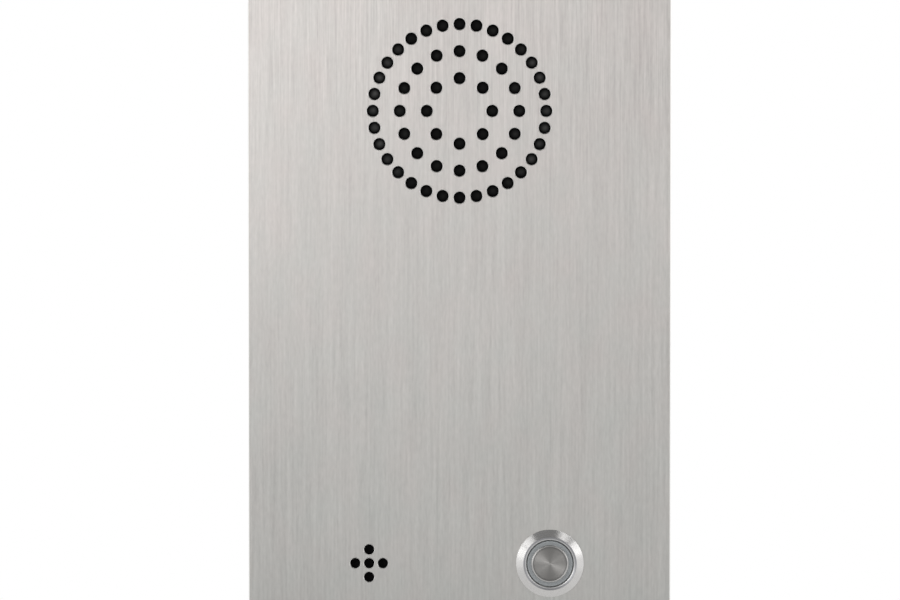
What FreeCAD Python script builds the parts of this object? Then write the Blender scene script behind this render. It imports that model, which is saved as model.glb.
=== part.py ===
import FreeCAD, Part
import math
import operator
import os
import Sketcher

# Flush network intercom panel, millimetres.
# X runs to the right, Z up, and the front face looks along -Y.
# The origin is the middle of the four fixing holes on the back plane of the panel.
# Depths are counted from that plane, positive towards the wall.

SIZES = {
    # Panel
    "panel_width": 140.0,
    "panel_height": 260.0,
    "panel_thick": 3.0,
    "panel_corner": 2.0,
    "panel_edge_break": 0.3,
    "fixing_margin": 8.0,
    "fixing_hole": 4.5,
    "fixing_head": 9.0,
    "hole_rim": 0.2,
    # Places of the speaker, microphone and button
    "speaker_inset_z": 70.0,
    "controls_inset_z": 40.0,
    "controls_inset_x": 40.0,
    # Speaker grille and microphone holes
    "grille_hole": 4.0,
    "grille_first_ring": 10.83,
    "grille_ring_step": 8.93,
    "mic_hole": 3.4,
    "mic_pitch": 4.58,
    # Gaskets and membranes
    "gasket_thick": 2.0,
    "gasket_inset": 1.0,
    "gasket_gap": 0.8,
    "gasket_hole_room": 0.5,
    "housing_gasket_width": 6.0,
    "membrane_thick": 0.3,
    # Rear housing and what holds it
    "housing_inset_x": 15.0,
    "housing_inset_z": 17.0,
    "housing_depth": 40.0,
    "housing_wall": 1.2,
    "housing_bend": 3.0,
    "post_inset_x": 8.0,
    "post_inset_z": 9.0,
    "post_flats": 7.0,
    "cutout_gap": 0.4,
    "pin_hole": 2.4,
    "earth_inset_z": 11.0,
    "earth_collar": 6.4,
    "earth_collar_deep": 2.0,
    # Fasteners
    "tight_gap": 0.05,
    "flange_gap": 0.1,
    "stud_past_nut": 1.0,
    "big_thread": 4.0,
    "big_clear_hole": 4.5,
    "big_screw_long": 8.0,
    "big_head": 8.0,
    "big_head_tall": 2.6,
    "big_socket": 2.5,
    "big_stud_long": 8.0,
    "big_weld_flange": 5.5,
    "small_thread": 3.0,
    "small_clear_hole": 3.6,
    "small_screw_long": 6.0,
    "small_head": 5.6,
    "small_head_tall": 2.2,
    "small_socket": 2.0,
    "small_stud_long": 8.0,
    "small_weld_flange": 4.4,
    "weld_flange_thick": 0.7,
    "socket_deep": 1.4,
    "head_round": 0.8,
    "small_nut_flats": 5.5,
    "small_nut_tall": 3.0,
    "small_nut_flange": 7.0,
    "small_nut_flange_thick": 0.8,
    "washer_wide": 9.6,
    "washer_thick": 0.8,
    # Speaker
    "speaker_flange": 77.0,
    "speaker_corner": 6.0,
    "speaker_hole_inset": 6.75,
    "speaker_sheet": 1.0,
    "speaker_bore": 33.0,
    "speaker_seat_deep": 2.5,
    "speaker_seat_inner": 29.8,
    "basket_waist": 22.0,
    "basket_waist_deep": 11.0,
    "spider_ledge_inner": 19.0,
    "basket_foot": 16.0,
    "basket_foot_deep": 17.0,
    "basket_bore": 9.5,
    "window_inner": 23.6,
    "window_outer": 28.6,
    "window_angle": 58.0,
    "surround_sheet": 0.4,
    "surround_inner": 24.4,
    "cone_sheet": 0.4,
    "cone_edge": 25.6,
    "coil_radius": 7.0,
    "coil_former": 0.25,
    "coil_winding": 0.4,
    "coil_air": 0.4,
    "coil_front_deep": 8.6,
    "coil_winding_long": 5.0,
    "cone_neck_deep": 9.4,
    "spider_sheet": 0.3,
    "spider_wave": 0.9,
    "dust_cap_radius": 9.6,
    "dust_cap_rise": 3.2,
    "top_plate_radius": 20.0,
    "top_plate_thick": 3.0,
    "magnet_radius": 22.5,
    "magnet_inner": 11.0,
    "magnet_thick": 7.0,
    "yoke_thick": 3.0,
    "tag_strip_long": 16.0,
    "tag_strip_wide": 6.0,
    "tag_strip_thick": 1.0,
    "tag_wide": 2.8,
    "tag_thick": 0.5,
    "tag_long": 8.0,
    "tag_pitch": 8.0,
    # Microphone
    "mic_capsule": 9.7,
    "mic_capsule_long": 6.7,
    "mic_chamber": 6.8,
    "mic_chamber_deep": 2.0,
    "mic_membrane": 7.8,
    "mic_boot": 9.0,
    "mic_boot_lip": 0.9,
    "mic_boot_back_hole": 3.0,
    "mic_gap": 0.05,
    "mic_bracket_thick": 1.2,
    "mic_bracket_wide": 12.0,
    "mic_stud_apart": 28.0,
    "mic_bracket_end": 4.5,
    "mic_bracket_corner": 2.0,
    # Button, a 19 mm panel switch
    "button_hole": 19.2,
    "button_thread": 19.0,
    "bezel_radius": 11.2,
    "bezel_edge": 0.45,
    "bezel_tall": 2.0,
    "bezel_cone_inner": 8.75,
    "bezel_lip_inner": 8.0,
    "bezel_lip_drop": 0.15,
    "bezel_lip_bevel": 0.35,
    "barrel_long": 15.0,
    "barrel_shoulder": 1.0,
    "barrel_room": 8.4,
    "seal_inner": 9.6,
    "seal_outer": 10.4,
    "seal_thick": 0.4,
    "locknut_flats": 22.0,
    "locknut_tall": 4.0,
    "moving_gap": 0.15,
    "stop_gap": 0.1,
    "button_travel": 2.5,
    "ring_inner": 6.2,
    "ring_bevel": 0.1,
    "ring_collar_tall": 1.0,
    "ring_skirt_tall": 1.7,
    "cap_proud": 0.3,
    "cap_bevel": 0.3,
    "cap_groove_radius": 5.4,
    "cap_groove_wide": 0.24,
    "cap_groove_deep": 0.18,
    "cap_thick": 1.4,
    "cap_stem": 2.4,
    "cap_stem_long": 2.9,
    "plunger_head_tall": 3.4,
    "plunger_rod": 3.0,
    "spring_radius": 4.6,
    "spring_wire": 0.6,
    "spring_turns": 5.0,
    "base_front_deep": 9.0,
    "base_rear_deep": 22.0,
    "base_collar_radius": 9.3,
    "base_collar_tall": 2.0,
    "base_body_radius": 8.0,
    "base_room": 4.0,
    "base_room_deep": 4.0,
    "bridge_long": 7.0,
    "bridge_wide": 1.6,
    "bridge_thick": 0.4,
    "led_board_thick": 0.8,
    "led_board_inner": 5.4,
    "led_wide": 1.6,
    "led_tall": 0.7,
    "blade_wide": 2.0,
    "blade_thick": 0.5,
    "blade_long": 6.0,
    "contact_blade_out": 2.6,
    "led_blade_out": 6.3,
    "socket_wide": 16.0,
    "socket_long": 9.0,
    "socket_corner": 2.0,
    "socket_gap": 0.5,
    # Main board
    "board_width": 92.0,
    "board_height": 76.0,
    "board_thick": 1.6,
    "board_corner": 2.0,
    "board_over_controls": 22.0,
    "board_hole_inset": 3.5,
    "board_hole_inset_z": 3.5,
    "board_post_flats": 5.5,
    # Network jack
    "jack_left": 20.0,
    "jack_inset_z": 22.0,
    "jack_wide": 16.2,
    "jack_tall": 14.0,
    "jack_long": 15.9,
    "jack_recess": 0.5,
    "jack_mouth_wide": 11.9,
    "jack_mouth_tall": 7.0,
    "jack_mouth_deep": 12.6,
    "jack_mouth_up": 1.0,
    "latch_wide": 6.2,
    "latch_tall": 1.4,
    "latch_tip_wide": 3.4,
    "latch_tip_tall": 1.3,
    "jack_pin_pitch": 1.02,
    "jack_pin_wide": 0.4,
    "jack_pin_flat": 1.2,
    "jack_pin_reach": 8.5,
    "jack_pin_drop": 2.0,
    # Terminal block
    "terminal_right": 15.0,
    "terminal_inset_z": 22.0,
    "terminal_pitch": 5.08,
    "terminal_header_deep": 12.0,
    "terminal_header_tall": 9.0,
    "terminal_wall": 1.0,
    "terminal_floor": 1.5,
    "terminal_end": 1.6,
    "terminal_gap": 0.2,
    "terminal_plug_tall": 16.6,
    "terminal_entry": 3.0,
    "terminal_entry_deep": 7.0,
    "terminal_entry_down": 0.75,
    "terminal_pin": 1.0,
    "terminal_screw": 3.0,
    "terminal_screw_long": 3.0,
    "terminal_screw_back": 5.4,
    "terminal_slot": 0.6,
    # Small parts of the board
    "transformer_over_jack": 16.0,
    "transformer_long": 12.7,
    "transformer_wide": 7.4,
    "transformer_tall": 5.6,
    "chip_leg": 0.45,
    "chip_leg_out": 1.0,
    "chip_leg_pitch": 1.27,
    "power_right": 6.0,
    "power_inset_z": 40.0,
    "power_wide": 13.5,
    "power_tall": 10.0,
    "power_core": 9.0,
    "power_bobbin_tall": 8.0,
    "capacitor_inset_x": 16.0,
    "capacitor_inset_z": 33.0,
    "capacitor_step": 9.5,
    "capacitor_radius": 4.0,
    "capacitor_tall": 11.0,
    "capacitor_crimp_up": 2.0,
    "capacitor_crimp": 0.3,
    "capacitor_edge": 0.4,
    "processor_inset_x": 20.0,
    "processor_inset_z": 54.0,
    "processor_wide": 14.0,
    "processor_tall": 1.4,
    "memory_inset_x": 12.0,
    "memory_inset_z": 67.0,
    "memory_step": 14.0,
    "memory_wide": 10.0,
    "memory_deep": 6.0,
    "memory_tall": 1.1,
    "amplifier_right": 13.0,
    "amplifier_inset_z": 66.0,
    "amplifier_wide": 5.0,
    "amplifier_tall": 1.3,
    "inductor_left": 2.0,
    "inductor_inset_z": 55.0,
    "inductor_step": 10.0,
    "inductor_wide": 7.0,
    "inductor_tall": 4.5,
    "inductor_corner": 1.2,
    "reset_left": 5.0,
    "reset_inset_z": 22.0,
    "reset_wide": 6.0,
    "reset_tall": 3.5,
    "reset_key": 1.75,
    "reset_key_gap": 2.2,
    "reset_key_in": 1.1,
    "reset_travel": 0.25,
    "reset_room": 0.35,
    # Harness
    "header_wide": 10.0,
    "header_deep": 7.5,
    "header_tall": 6.0,
    "header_wall": 0.8,
    "plug_gap": 0.1,
    "plug_out": 3.0,
    "mic_header_left": 22.0,
    "header_proud": 0.5,
    "speaker_lead": 3.0,
    "mic_lead": 2.6,
    "button_lead": 3.4,
}

# What is counted and not measured
GRILLE_RINGS = 3
FIRST_RING_HOLES = 8
SPIDER_WAVES = 6
BASKET_WINDOWS = 4
SPRING_ARCS_PER_TURN = 4
BUTTON_LAMPS = 4
JACK_PINS = 8
TERMINAL_POLES = 4
TRANSFORMER_LEGS = 8
MEMORY_LEGS = 6
AMPLIFIER_LEGS = 4
CAPACITORS = 3

SIGNS = {"+": operator.add, "-": operator.sub, "*": operator.mul, "/": operator.truediv}
OVER = 1.0
NEAR = 0.0001
NEARLY_HALF_ROUND = 0.52

doc = FreeCAD.newDocument("network_intercom_phone")
sheet = doc.addObject("Spreadsheet::Sheet", "sizes")
pieces = []


class Size:
    """A number together with the sheet expression that gives it."""

    def __init__(self, number, text):
        self.number = float(number)
        self.text = text

    def __float__(self):
        return self.number

    def __add__(self, other):
        return joined(self, "+", other)

    def __radd__(self, other):
        return joined(other, "+", self)

    def __sub__(self, other):
        return joined(self, "-", other)

    def __rsub__(self, other):
        return joined(other, "-", self)

    def __mul__(self, other):
        return joined(self, "*", other)

    def __rmul__(self, other):
        return joined(other, "*", self)

    def __truediv__(self, other):
        return joined(self, "/", other)

    def __rtruediv__(self, other):
        return joined(other, "/", self)

    def __neg__(self):
        return joined(0, "-", self)


def as_size(value):
    if isinstance(value, Size):
        return value
    return Size(value, f"{float(value):.6f}")


def joined(left, sign, right):
    left = as_size(left)
    right = as_size(right)
    return Size(SIGNS[sign](left.number, right.number), f"({left.text} {sign} {right.text})")


class Sheet:
    """The driving sizes by name."""

    def __init__(self, values):
        for row, (name, value) in enumerate(values.items(), start=1):
            sheet.set(f"A{row}", name)
            sheet.set(f"B{row}", str(value))
            sheet.setAlias(f"B{row}", name)
        doc.recompute()
        for name in values:
            setattr(self, name, Size(sheet.get(name), f"sizes.{name}"))


s = Sheet(SIZES)


class Round:
    """A circle in a sketch."""

    def __init__(self, x, z, radius):
        self.x = x
        self.z = z
        self.radius = radius


class Bend:
    """A corner of an outline that is reached along an arc of the given radius.

    The arc's middle lies to the left of the way to the corner when the radius is positive.
    """

    def __init__(self, x, y, radius):
        self.point = (x, y)
        self.radius = radius


# Sketches and features

def bind(item, name, value):
    """Tie a property to the sheet, or set it when it is a plain number."""
    if isinstance(value, Size):
        item.setExpression(name, value.text)
    elif value:
        item.setExpression(name, as_size(value).text)


def new_body(name, x=0, y=0, z=0):
    body = doc.addObject("PartDesign::Body", name)
    body.Label = name
    bind(body, ".Placement.Base.x", x)
    bind(body, ".Placement.Base.y", y)
    bind(body, ".Placement.Base.z", z)
    pieces.append(body)
    return body


def origin_of(body, role):
    return next(item for item in body.Origin.OriginFeatures if item.Role == role)


def sketch_on(body, role, right=0, up=0, lift=0):
    """An empty sketch on one of the body's own planes, shifted in it and along its normal."""
    sketch = body.newObject("Sketcher::SketchObject", f"{body.Name}_outline")
    sketch.AttachmentSupport = [(origin_of(body, role), "")]
    sketch.MapMode = "FlatFace"
    bind(sketch, ".AttachmentOffset.Base.x", right)
    bind(sketch, ".AttachmentOffset.Base.y", up)
    bind(sketch, ".AttachmentOffset.Base.z", lift)
    return sketch


def arc_between(start, end, radius):
    """The short arc from start to end, and whether it runs anticlockwise."""
    chord = end - start
    half = chord.Length / 2
    side = FreeCAD.Vector(-chord.y, chord.x, 0).normalize()
    reach = math.sqrt(max(radius * radius - half * half, 0))
    middle = (start + end) * 0.5 + side * math.copysign(reach, radius)
    circle = Part.Circle(middle, FreeCAD.Vector(0, 0, 1), abs(radius))
    first = math.atan2(start.y - middle.y, start.x - middle.x)
    last = math.atan2(end.y - middle.y, end.x - middle.x)
    if radius > 0:
        return Part.ArcOfCircle(circle, first, last), True
    return Part.ArcOfCircle(circle, last, first), False


class Drawing:
    """The lines, circles and sheet-bound constraints of one sketch, gathered before they are added."""

    def __init__(self):
        self.shapes = []
        self.rules = []
        self.ties = []

    def tie(self, kind, where, value):
        self.ties.append((len(self.rules), as_size(value).text))
        self.rules.append(Sketcher.Constraint(kind, *where, float(value)))

    def pin_down(self, shape, point, x, y):
        self.tie("DistanceX", (-1, 1, shape, point), x)
        self.tie("DistanceY", (-1, 1, shape, point), y)

    def add_circle(self, circle):
        shape = len(self.shapes)
        middle = FreeCAD.Vector(float(circle.x), float(circle.z), 0)
        self.shapes.append(Part.Circle(middle, FreeCAD.Vector(0, 0, 1), float(circle.radius)))
        self.pin_down(shape, 3, circle.x, circle.z)
        self.tie("Radius", (shape,), circle.radius)

    def add_outline(self, loop):
        corners = [item.point if isinstance(item, Bend) else item for item in loop]
        spots = [FreeCAD.Vector(float(x), float(y), 0) for x, y in corners]
        edges = []
        for index, start in enumerate(spots):
            following = (index + 1) % len(loop)
            shape = len(self.shapes)
            if isinstance(loop[following], Bend):
                radius = loop[following].radius
                arc, forward = arc_between(start, spots[following], float(radius))
                self.shapes.append(arc)
                self.tie("Radius", (shape,), abs_size(radius))
                edges.append((shape, 1, 2) if forward else (shape, 2, 1))
            else:
                self.shapes.append(Part.LineSegment(start, spots[following]))
                edges.append((shape, 1, 2))
        for index, (shape, first, last) in enumerate(edges):
            next_shape, next_first, unused = edges[(index + 1) % len(edges)]
            self.rules.append(Sketcher.Constraint("Coincident", shape, last, next_shape, next_first))
            x, y = corners[index]
            self.pin_down(shape, first, x, y)


def draw(sketch, loops):
    """Fill a sketch with closed outlines, each a circle or a list of corners, tied to the sheet."""
    drawing = Drawing()
    for loop in loops:
        if isinstance(loop, Round):
            drawing.add_circle(loop)
        else:
            drawing.add_outline(loop)
    sketch.addGeometry(drawing.shapes)
    sketch.addConstraint(drawing.rules)
    for index, text in drawing.ties:
        sketch.setExpression(f"Constraints[{index}]", text)


def abs_size(value):
    value = as_size(value)
    return value if value.number > 0 else -value


def settle(body, feature, cuts=False):
    """Make the feature the body's tip and check that it did what it should."""
    before = 0 if body.Shape.isNull() else body.Shape.Volume
    body.Tip = feature
    doc.recompute()
    after = body.Shape.Volume
    if cuts and after > before - 1e-6:
        raise ValueError(f"{feature.Name} in {body.Label} took nothing away")
    if not cuts and after < before + 1e-6:
        raise ValueError(f"{feature.Name} in {body.Label} added nothing")
    return feature


def pad(body, loops, near, far):
    """Fill the outlines, drawn in X and Z, from the depth near to the depth far."""
    sketch = sketch_on(body, "XZ_Plane", lift=-near)
    draw(sketch, loops)
    feature = body.newObject("PartDesign::Pad", f"{body.Name}_pad")
    feature.Profile = sketch
    feature.Reversed = True
    bind(feature, "Length", far - near)
    return settle(body, feature)


def pocket(body, loops, near, far):
    """Cut the outlines, drawn in X and Z, away from the depth near to the depth far."""
    sketch = sketch_on(body, "XZ_Plane", lift=-near)
    draw(sketch, loops)
    feature = body.newObject("PartDesign::Pocket", f"{body.Name}_pocket")
    feature.Profile = sketch
    bind(feature, "Length", far - near)
    return settle(body, feature, cuts=True)


def turned(body, kind, profile, x, z, angle):
    sketch = sketch_on(body, "XY_Plane", right=x, lift=z)
    draw(sketch, [profile])
    feature = body.newObject(f"PartDesign::{kind}", f"{body.Name}_{kind.lower()}")
    feature.Profile = sketch
    feature.ReferenceAxis = (sketch, ["V_Axis"])
    bind(feature, "Angle", angle)
    return settle(body, feature, cuts=(kind == "Groove"))


def turn(body, profile, x=0, z=0):
    """Turn a profile of radius and depth about an axis along Y through X and Z."""
    return turned(body, "Revolution", profile, x, z, 360)


def turn_out(body, profile, x=0, z=0, angle=360):
    """Cut a turned shape away, all round or over a part of the turn."""
    return turned(body, "Groove", profile, x, z, angle)


def around(body, feature, count, x=0, z=0):
    """Copies of a feature in a full circle about an axis along Y through X and Z."""
    centre = sketch_on(body, "XZ_Plane", right=x, up=z)
    centre.addGeometry(Part.Circle(FreeCAD.Vector(0, 0, 0), FreeCAD.Vector(0, 0, 1), 1), True)
    copies = body.newObject("PartDesign::PolarPattern", f"{body.Name}_ring")
    copies.Originals = [feature]
    copies.Axis = (centre, ["N_Axis"])
    copies.Angle = 360
    copies.Occurrences = count
    body.Tip = copies
    doc.recompute()
    return copies


def rows(body, features, across=0, columns=1, upward=0, levels=1):
    """Copies of the features along X and Z, over the given whole distances."""
    copies = body.newObject("PartDesign::LinearPattern", f"{body.Name}_rows")
    copies.Originals = features
    if columns > 1:
        copies.Direction = (origin_of(body, "X_Axis"), [""])
        bind(copies, "Length", across)
        copies.Occurrences = columns
    if levels > 1 and columns > 1:
        copies.Direction2 = (origin_of(body, "Z_Axis"), [""])
        bind(copies, "Length2", upward)
        copies.Occurrences2 = levels
    if levels > 1 and columns == 1:
        copies.Direction = (origin_of(body, "Z_Axis"), [""])
        bind(copies, "Length", upward)
        copies.Occurrences = levels
    body.Tip = copies
    doc.recompute()
    return copies


def whole_rows(body, across):
    """A second copy of the whole body beside the first, along X."""
    copies = body.newObject("PartDesign::LinearPattern", f"{body.Name}_pair")
    copies.TransformMode = "Whole shape"
    copies.Direction = (origin_of(body, "X_Axis"), [""])
    bind(copies, "Length", across)
    copies.Occurrences = 2
    body.Tip = copies
    doc.recompute()


def edges_where(body, test):
    """Names of the edges of the body's shape that pass the test."""
    shape = body.Tip.Shape
    return [f"Edge{index}" for index, edge in enumerate(shape.Edges, start=1) if test(edge)]


def runs_deep(edge):
    """Whether an edge runs along Y."""
    start, end = edge.Vertexes[0].Point, edge.Vertexes[-1].Point
    return abs(start.y - end.y) > NEAR and math.hypot(start.x - end.x, start.z - end.z) < NEAR


def lies_at(depth):
    """A test for edges that lie flat at one depth."""
    level = float(depth)
    return lambda edge: all(abs(vertex.Y - level) < NEAR for vertex in edge.Vertexes)


def rims_at(depth):
    """A test for whole circles that lie flat at one depth."""
    flat = lies_at(depth)
    return lambda edge: flat(edge) and edge.isClosed()


def outline_at(depth):
    """A test for the edges of an outline, not of a round hole, at one depth."""
    flat = lies_at(depth)
    return lambda edge: flat(edge) and not edge.isClosed()


def dress(body, kind, names, size_name, value):
    base = body.Tip
    feature = body.newObject(f"PartDesign::{kind}", f"{body.Name}_{kind.lower()}")
    feature.Base = (base, names)
    bind(feature, size_name, value)
    body.Tip = feature
    doc.recompute()
    return feature


def round_off(body, names, radius):
    return dress(body, "Fillet", names, "Radius", radius)


def bevel(body, names, width):
    return dress(body, "Chamfer", names, "Size", width)


# Outlines

def rectangle(x, z, width, height):
    return [(x - width / 2, z - height / 2), (x + width / 2, z - height / 2),
            (x + width / 2, z + height / 2), (x - width / 2, z + height / 2)]


def rounded_rectangle(x, z, width, height, radius):
    left, right = x - width / 2, x + width / 2
    low, high = z - height / 2, z + height / 2
    return [Bend(left + radius, low, radius), (right - radius, low),
            Bend(right, low + radius, radius), (right, high - radius),
            Bend(right - radius, high, radius), (left + radius, high),
            Bend(left, high - radius, radius), (left, low + radius)]


def hexagon(x, z, flats):
    corner = flats / math.sqrt(3)
    return [(x + corner * math.cos(math.radians(60 * step)),
             z + corner * math.sin(math.radians(60 * step))) for step in range(6)]


def tube(inner, outer, near, far):
    """The half section of a ring or, with no inner radius, of a disc."""
    return [(inner, near), (outer, near), (outer, far), (inner, far)]


def block(body, x, z, width, height, near, far):
    return pad(body, [rectangle(x, z, width, height)], near, far)


# Panel

mic_x = s.controls_inset_x - s.panel_width / 2
button_x = s.panel_width / 2 - s.controls_inset_x
controls_z = s.controls_inset_z - s.panel_height / 2
speaker_z = s.panel_height / 2 - s.speaker_inset_z
housing_width = s.panel_width - s.housing_inset_x * 2
housing_height = s.panel_height - s.housing_inset_z * 2
fixing_across = s.panel_width - s.fixing_margin * 2
fixing_upward = s.panel_height - s.fixing_margin * 2
front = -s.panel_thick


def make_front_panel():
    body = new_body("front_panel")
    pad(body, [rounded_rectangle(0, 0, s.panel_width, s.panel_height, s.panel_corner)], front, 0)
    for ring in range(GRILLE_RINGS):
        radius = s.grille_first_ring + s.grille_ring_step * ring
        hole = pocket(body, [Round(0, speaker_z + radius, s.grille_hole / 2)], front - OVER, OVER)
        around(body, hole, FIRST_RING_HOLES * 2 ** ring, z=speaker_z)
    mic_holes = [Round(mic_x + s.mic_pitch * x, controls_z + s.mic_pitch * z, s.mic_hole / 2)
                 for x, z in ((0, 0), (1, 0), (-1, 0), (0, 1), (0, -1))]
    pocket(body, mic_holes, front - OVER, OVER)
    bevel(body, edges_where(body, rims_at(front)), s.hole_rim)
    bevel(body, edges_where(body, outline_at(front)), s.panel_edge_break)
    pocket(body, [Round(button_x, controls_z, s.button_hole / 2)], front - OVER, OVER)
    sunk = (s.fixing_head - s.fixing_hole) / 2
    radius = s.fixing_hole / 2
    countersunk = [(0, OVER), (radius, OVER), (radius, front + sunk),
                   (radius + sunk + OVER, front - OVER), (0, front - OVER)]
    hole = turn_out(body, countersunk, x=-fixing_across / 2, z=-fixing_upward / 2)
    rows(body, [hole], fixing_across, 2, fixing_upward, 2)


# Gaskets

strip_middle_x = housing_width / 2 - s.housing_wall / 2
strip_middle_z = housing_height / 2 - s.housing_wall / 2


def round_the_housing(out):
    """A rectangle that far outside the middle of the housing's walls."""
    return rectangle(0, 0, (strip_middle_x + out) * 2, (strip_middle_z + out) * 2)


def make_gaskets():
    half_strip = s.housing_gasket_width / 2
    strip = new_body("housing_gasket")
    pad(strip, [round_the_housing(half_strip), round_the_housing(-half_strip)], 0, s.gasket_thick)
    gasket = new_body("wall_gasket")
    outer = rectangle(0, 0, s.panel_width - s.gasket_inset * 2, s.panel_height - s.gasket_inset * 2)
    pad(gasket, [outer, round_the_housing(half_strip + s.gasket_gap)], 0, s.gasket_thick)
    hole = Round(-fixing_across / 2, -fixing_upward / 2, (s.fixing_hole + s.gasket_hole_room) / 2)
    cut = pocket(gasket, [hole], -OVER, s.gasket_thick + OVER)
    rows(gasket, [cut], fixing_across, 2, fixing_upward, 2)


# Fasteners

def stud_section(thread, flange, length):
    """Half section of a weld stud standing on the back of the panel."""
    shank = thread / 2 - s.tight_gap
    return [(0, 0), (flange / 2, 0), (flange / 2, s.weld_flange_thick),
            (shank, s.weld_flange_thick), (shank, length), (0, length)]


def pan_screw(body, x, z, seat, thread, length, head, head_tall, socket):
    """A pan head screw that enters along -Y, with its head standing on the depth seat."""
    shank = thread / 2 - s.tight_gap
    top = seat + head_tall
    section = [(0, seat - length), (shank, seat - length), (shank, seat), (head / 2, seat),
               (head / 2, top - s.head_round), Bend(head / 2 - s.head_round, top, s.head_round),
               (0, top)]
    screw = turn(body, section, x, z)
    recess = pocket(body, [hexagon(x, z, socket)], top - s.socket_deep, top + OVER)
    return [screw, recess]


def nut(body, x, z, seat):
    """A small flanged nut that stands on the depth seat."""
    bore = s.small_thread / 2
    flange = turn(body, tube(bore, s.small_nut_flange / 2, seat, seat + s.small_nut_flange_thick), x, z)
    loops = [hexagon(x, z, s.small_nut_flats), Round(x, z, bore)]
    crown = pad(body, loops, seat + s.small_nut_flange_thick, seat + s.small_nut_tall)
    return [flange, crown]


# Rear housing

post_x = housing_width / 2 - s.post_inset_x
post_z = housing_height / 2 - s.post_inset_z
earth_down = housing_height / 2 - s.earth_inset_z
housing_inside = s.housing_depth - s.housing_wall
board_low = controls_z + s.board_over_controls
board_high = board_low + s.board_height
board_z = (board_low + board_high) / 2
board_left = -s.board_width / 2
board_right = s.board_width / 2
board_back = s.housing_depth - s.jack_recess - s.jack_long
board_front = board_back - s.board_thick
jack_x = -s.jack_left
jack_z = board_low + s.jack_inset_z
terminal_x = s.terminal_right
terminal_z = board_low + s.terminal_inset_z
terminal_plug_wide = s.terminal_pitch * TERMINAL_POLES + s.terminal_end * 2
terminal_plug_deep = s.terminal_header_deep - s.terminal_wall * 2 - s.terminal_gap * 2
reset_x = -s.reset_left
reset_z = board_low + s.reset_inset_z


def make_rear_housing():
    body = new_body("rear_housing")
    outline = rounded_rectangle(0, 0, housing_width, housing_height, s.housing_bend)
    pad(body, [outline], s.gasket_thick, s.housing_depth)
    round_off(body, edges_where(body, lies_at(s.housing_depth)), s.housing_bend)
    walls = s.housing_wall * 2
    inner_bend = s.housing_bend - s.housing_wall
    room = rounded_rectangle(0, 0, housing_width - walls, housing_height - walls, inner_bend)
    pocket(body, [room], s.gasket_thick - OVER, housing_inside)
    round_off(body, edges_where(body, lies_at(housing_inside)), inner_bend)
    gap = s.cutout_gap * 2
    window = rectangle(jack_x, jack_z, s.jack_wide + gap, s.jack_tall + gap)
    slot = rectangle(terminal_x, terminal_z, terminal_plug_wide + gap, terminal_plug_deep + gap)
    pin_hole = Round(reset_x, reset_z, s.pin_hole / 2)
    pocket(body, [window, slot, pin_hole], housing_inside - OVER, s.housing_depth + OVER)
    hole = pocket(body, [Round(-post_x, -post_z, s.big_clear_hole / 2)],
                  housing_inside - OVER, s.housing_depth + OVER)
    rows(body, [hole], post_x * 2, 2, post_z * 2, 2)
    collar = Round(0, -earth_down, s.earth_collar / 2)
    pad(body, [collar], housing_inside - s.earth_collar_deep, housing_inside)
    pocket(body, [Round(0, -earth_down, s.big_thread / 2)],
           housing_inside - s.earth_collar_deep - OVER, s.housing_depth + OVER)


def make_housing_fasteners():
    studs = new_body("housing_studs")
    stud = turn(studs, stud_section(s.big_thread, s.big_weld_flange, s.big_stud_long), -post_x, -post_z)
    rows(studs, [stud], post_x * 2, 2, post_z * 2, 2)

    posts = new_body("housing_standoffs")
    post = pad(posts, [hexagon(-post_x, -post_z, s.post_flats)], 0, housing_inside)
    flange_room = s.big_weld_flange / 2 + s.flange_gap
    flange_deep = s.weld_flange_thick + s.flange_gap
    bore = [(0, -OVER), (flange_room, -OVER), (flange_room, flange_deep),
            (s.big_thread / 2, flange_deep), (s.big_thread / 2, s.big_stud_long + OVER),
            (0, s.big_stud_long + OVER)]
    stud_bore = turn_out(posts, bore, -post_x, -post_z)
    deep = housing_inside - s.big_screw_long
    screw_bore = turn_out(posts, tube(0, s.big_thread / 2, deep, housing_inside + OVER), -post_x, -post_z)
    rows(posts, [post, stud_bore, screw_bore], post_x * 2, 2, post_z * 2, 2)

    screws = new_body("housing_screws")
    features = pan_screw(screws, -post_x, -post_z, s.housing_depth, s.big_thread, s.big_screw_long,
                         s.big_head, s.big_head_tall, s.big_socket)
    rows(screws, features, post_x * 2, 2, post_z * 2, 2)

    earth = new_body("earth_screw")
    seat = s.housing_depth + s.washer_thick
    pan_screw(earth, 0, -earth_down, seat, s.big_thread, s.big_screw_long,
              s.big_head, s.big_head_tall, s.big_socket)
    turn(earth, tube(0, s.washer_wide / 2, s.housing_depth, seat), 0, -earth_down)


# Studs and nuts of the speaker, board and microphone

board_post_x = s.board_width / 2 - s.board_hole_inset
board_post_z = s.board_height / 2 - s.board_hole_inset_z
speaker_hole = s.speaker_flange / 2 - s.speaker_hole_inset
speaker_pitch = speaker_hole * 2
speaker_back = s.gasket_thick + s.speaker_sheet
mic_boot_back = s.mic_chamber_deep + s.mic_capsule_long + s.mic_boot_lip
mic_bracket_back = mic_boot_back + s.mic_bracket_thick
mic_stud_long = mic_bracket_back + s.small_nut_tall + s.stud_past_nut


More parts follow.
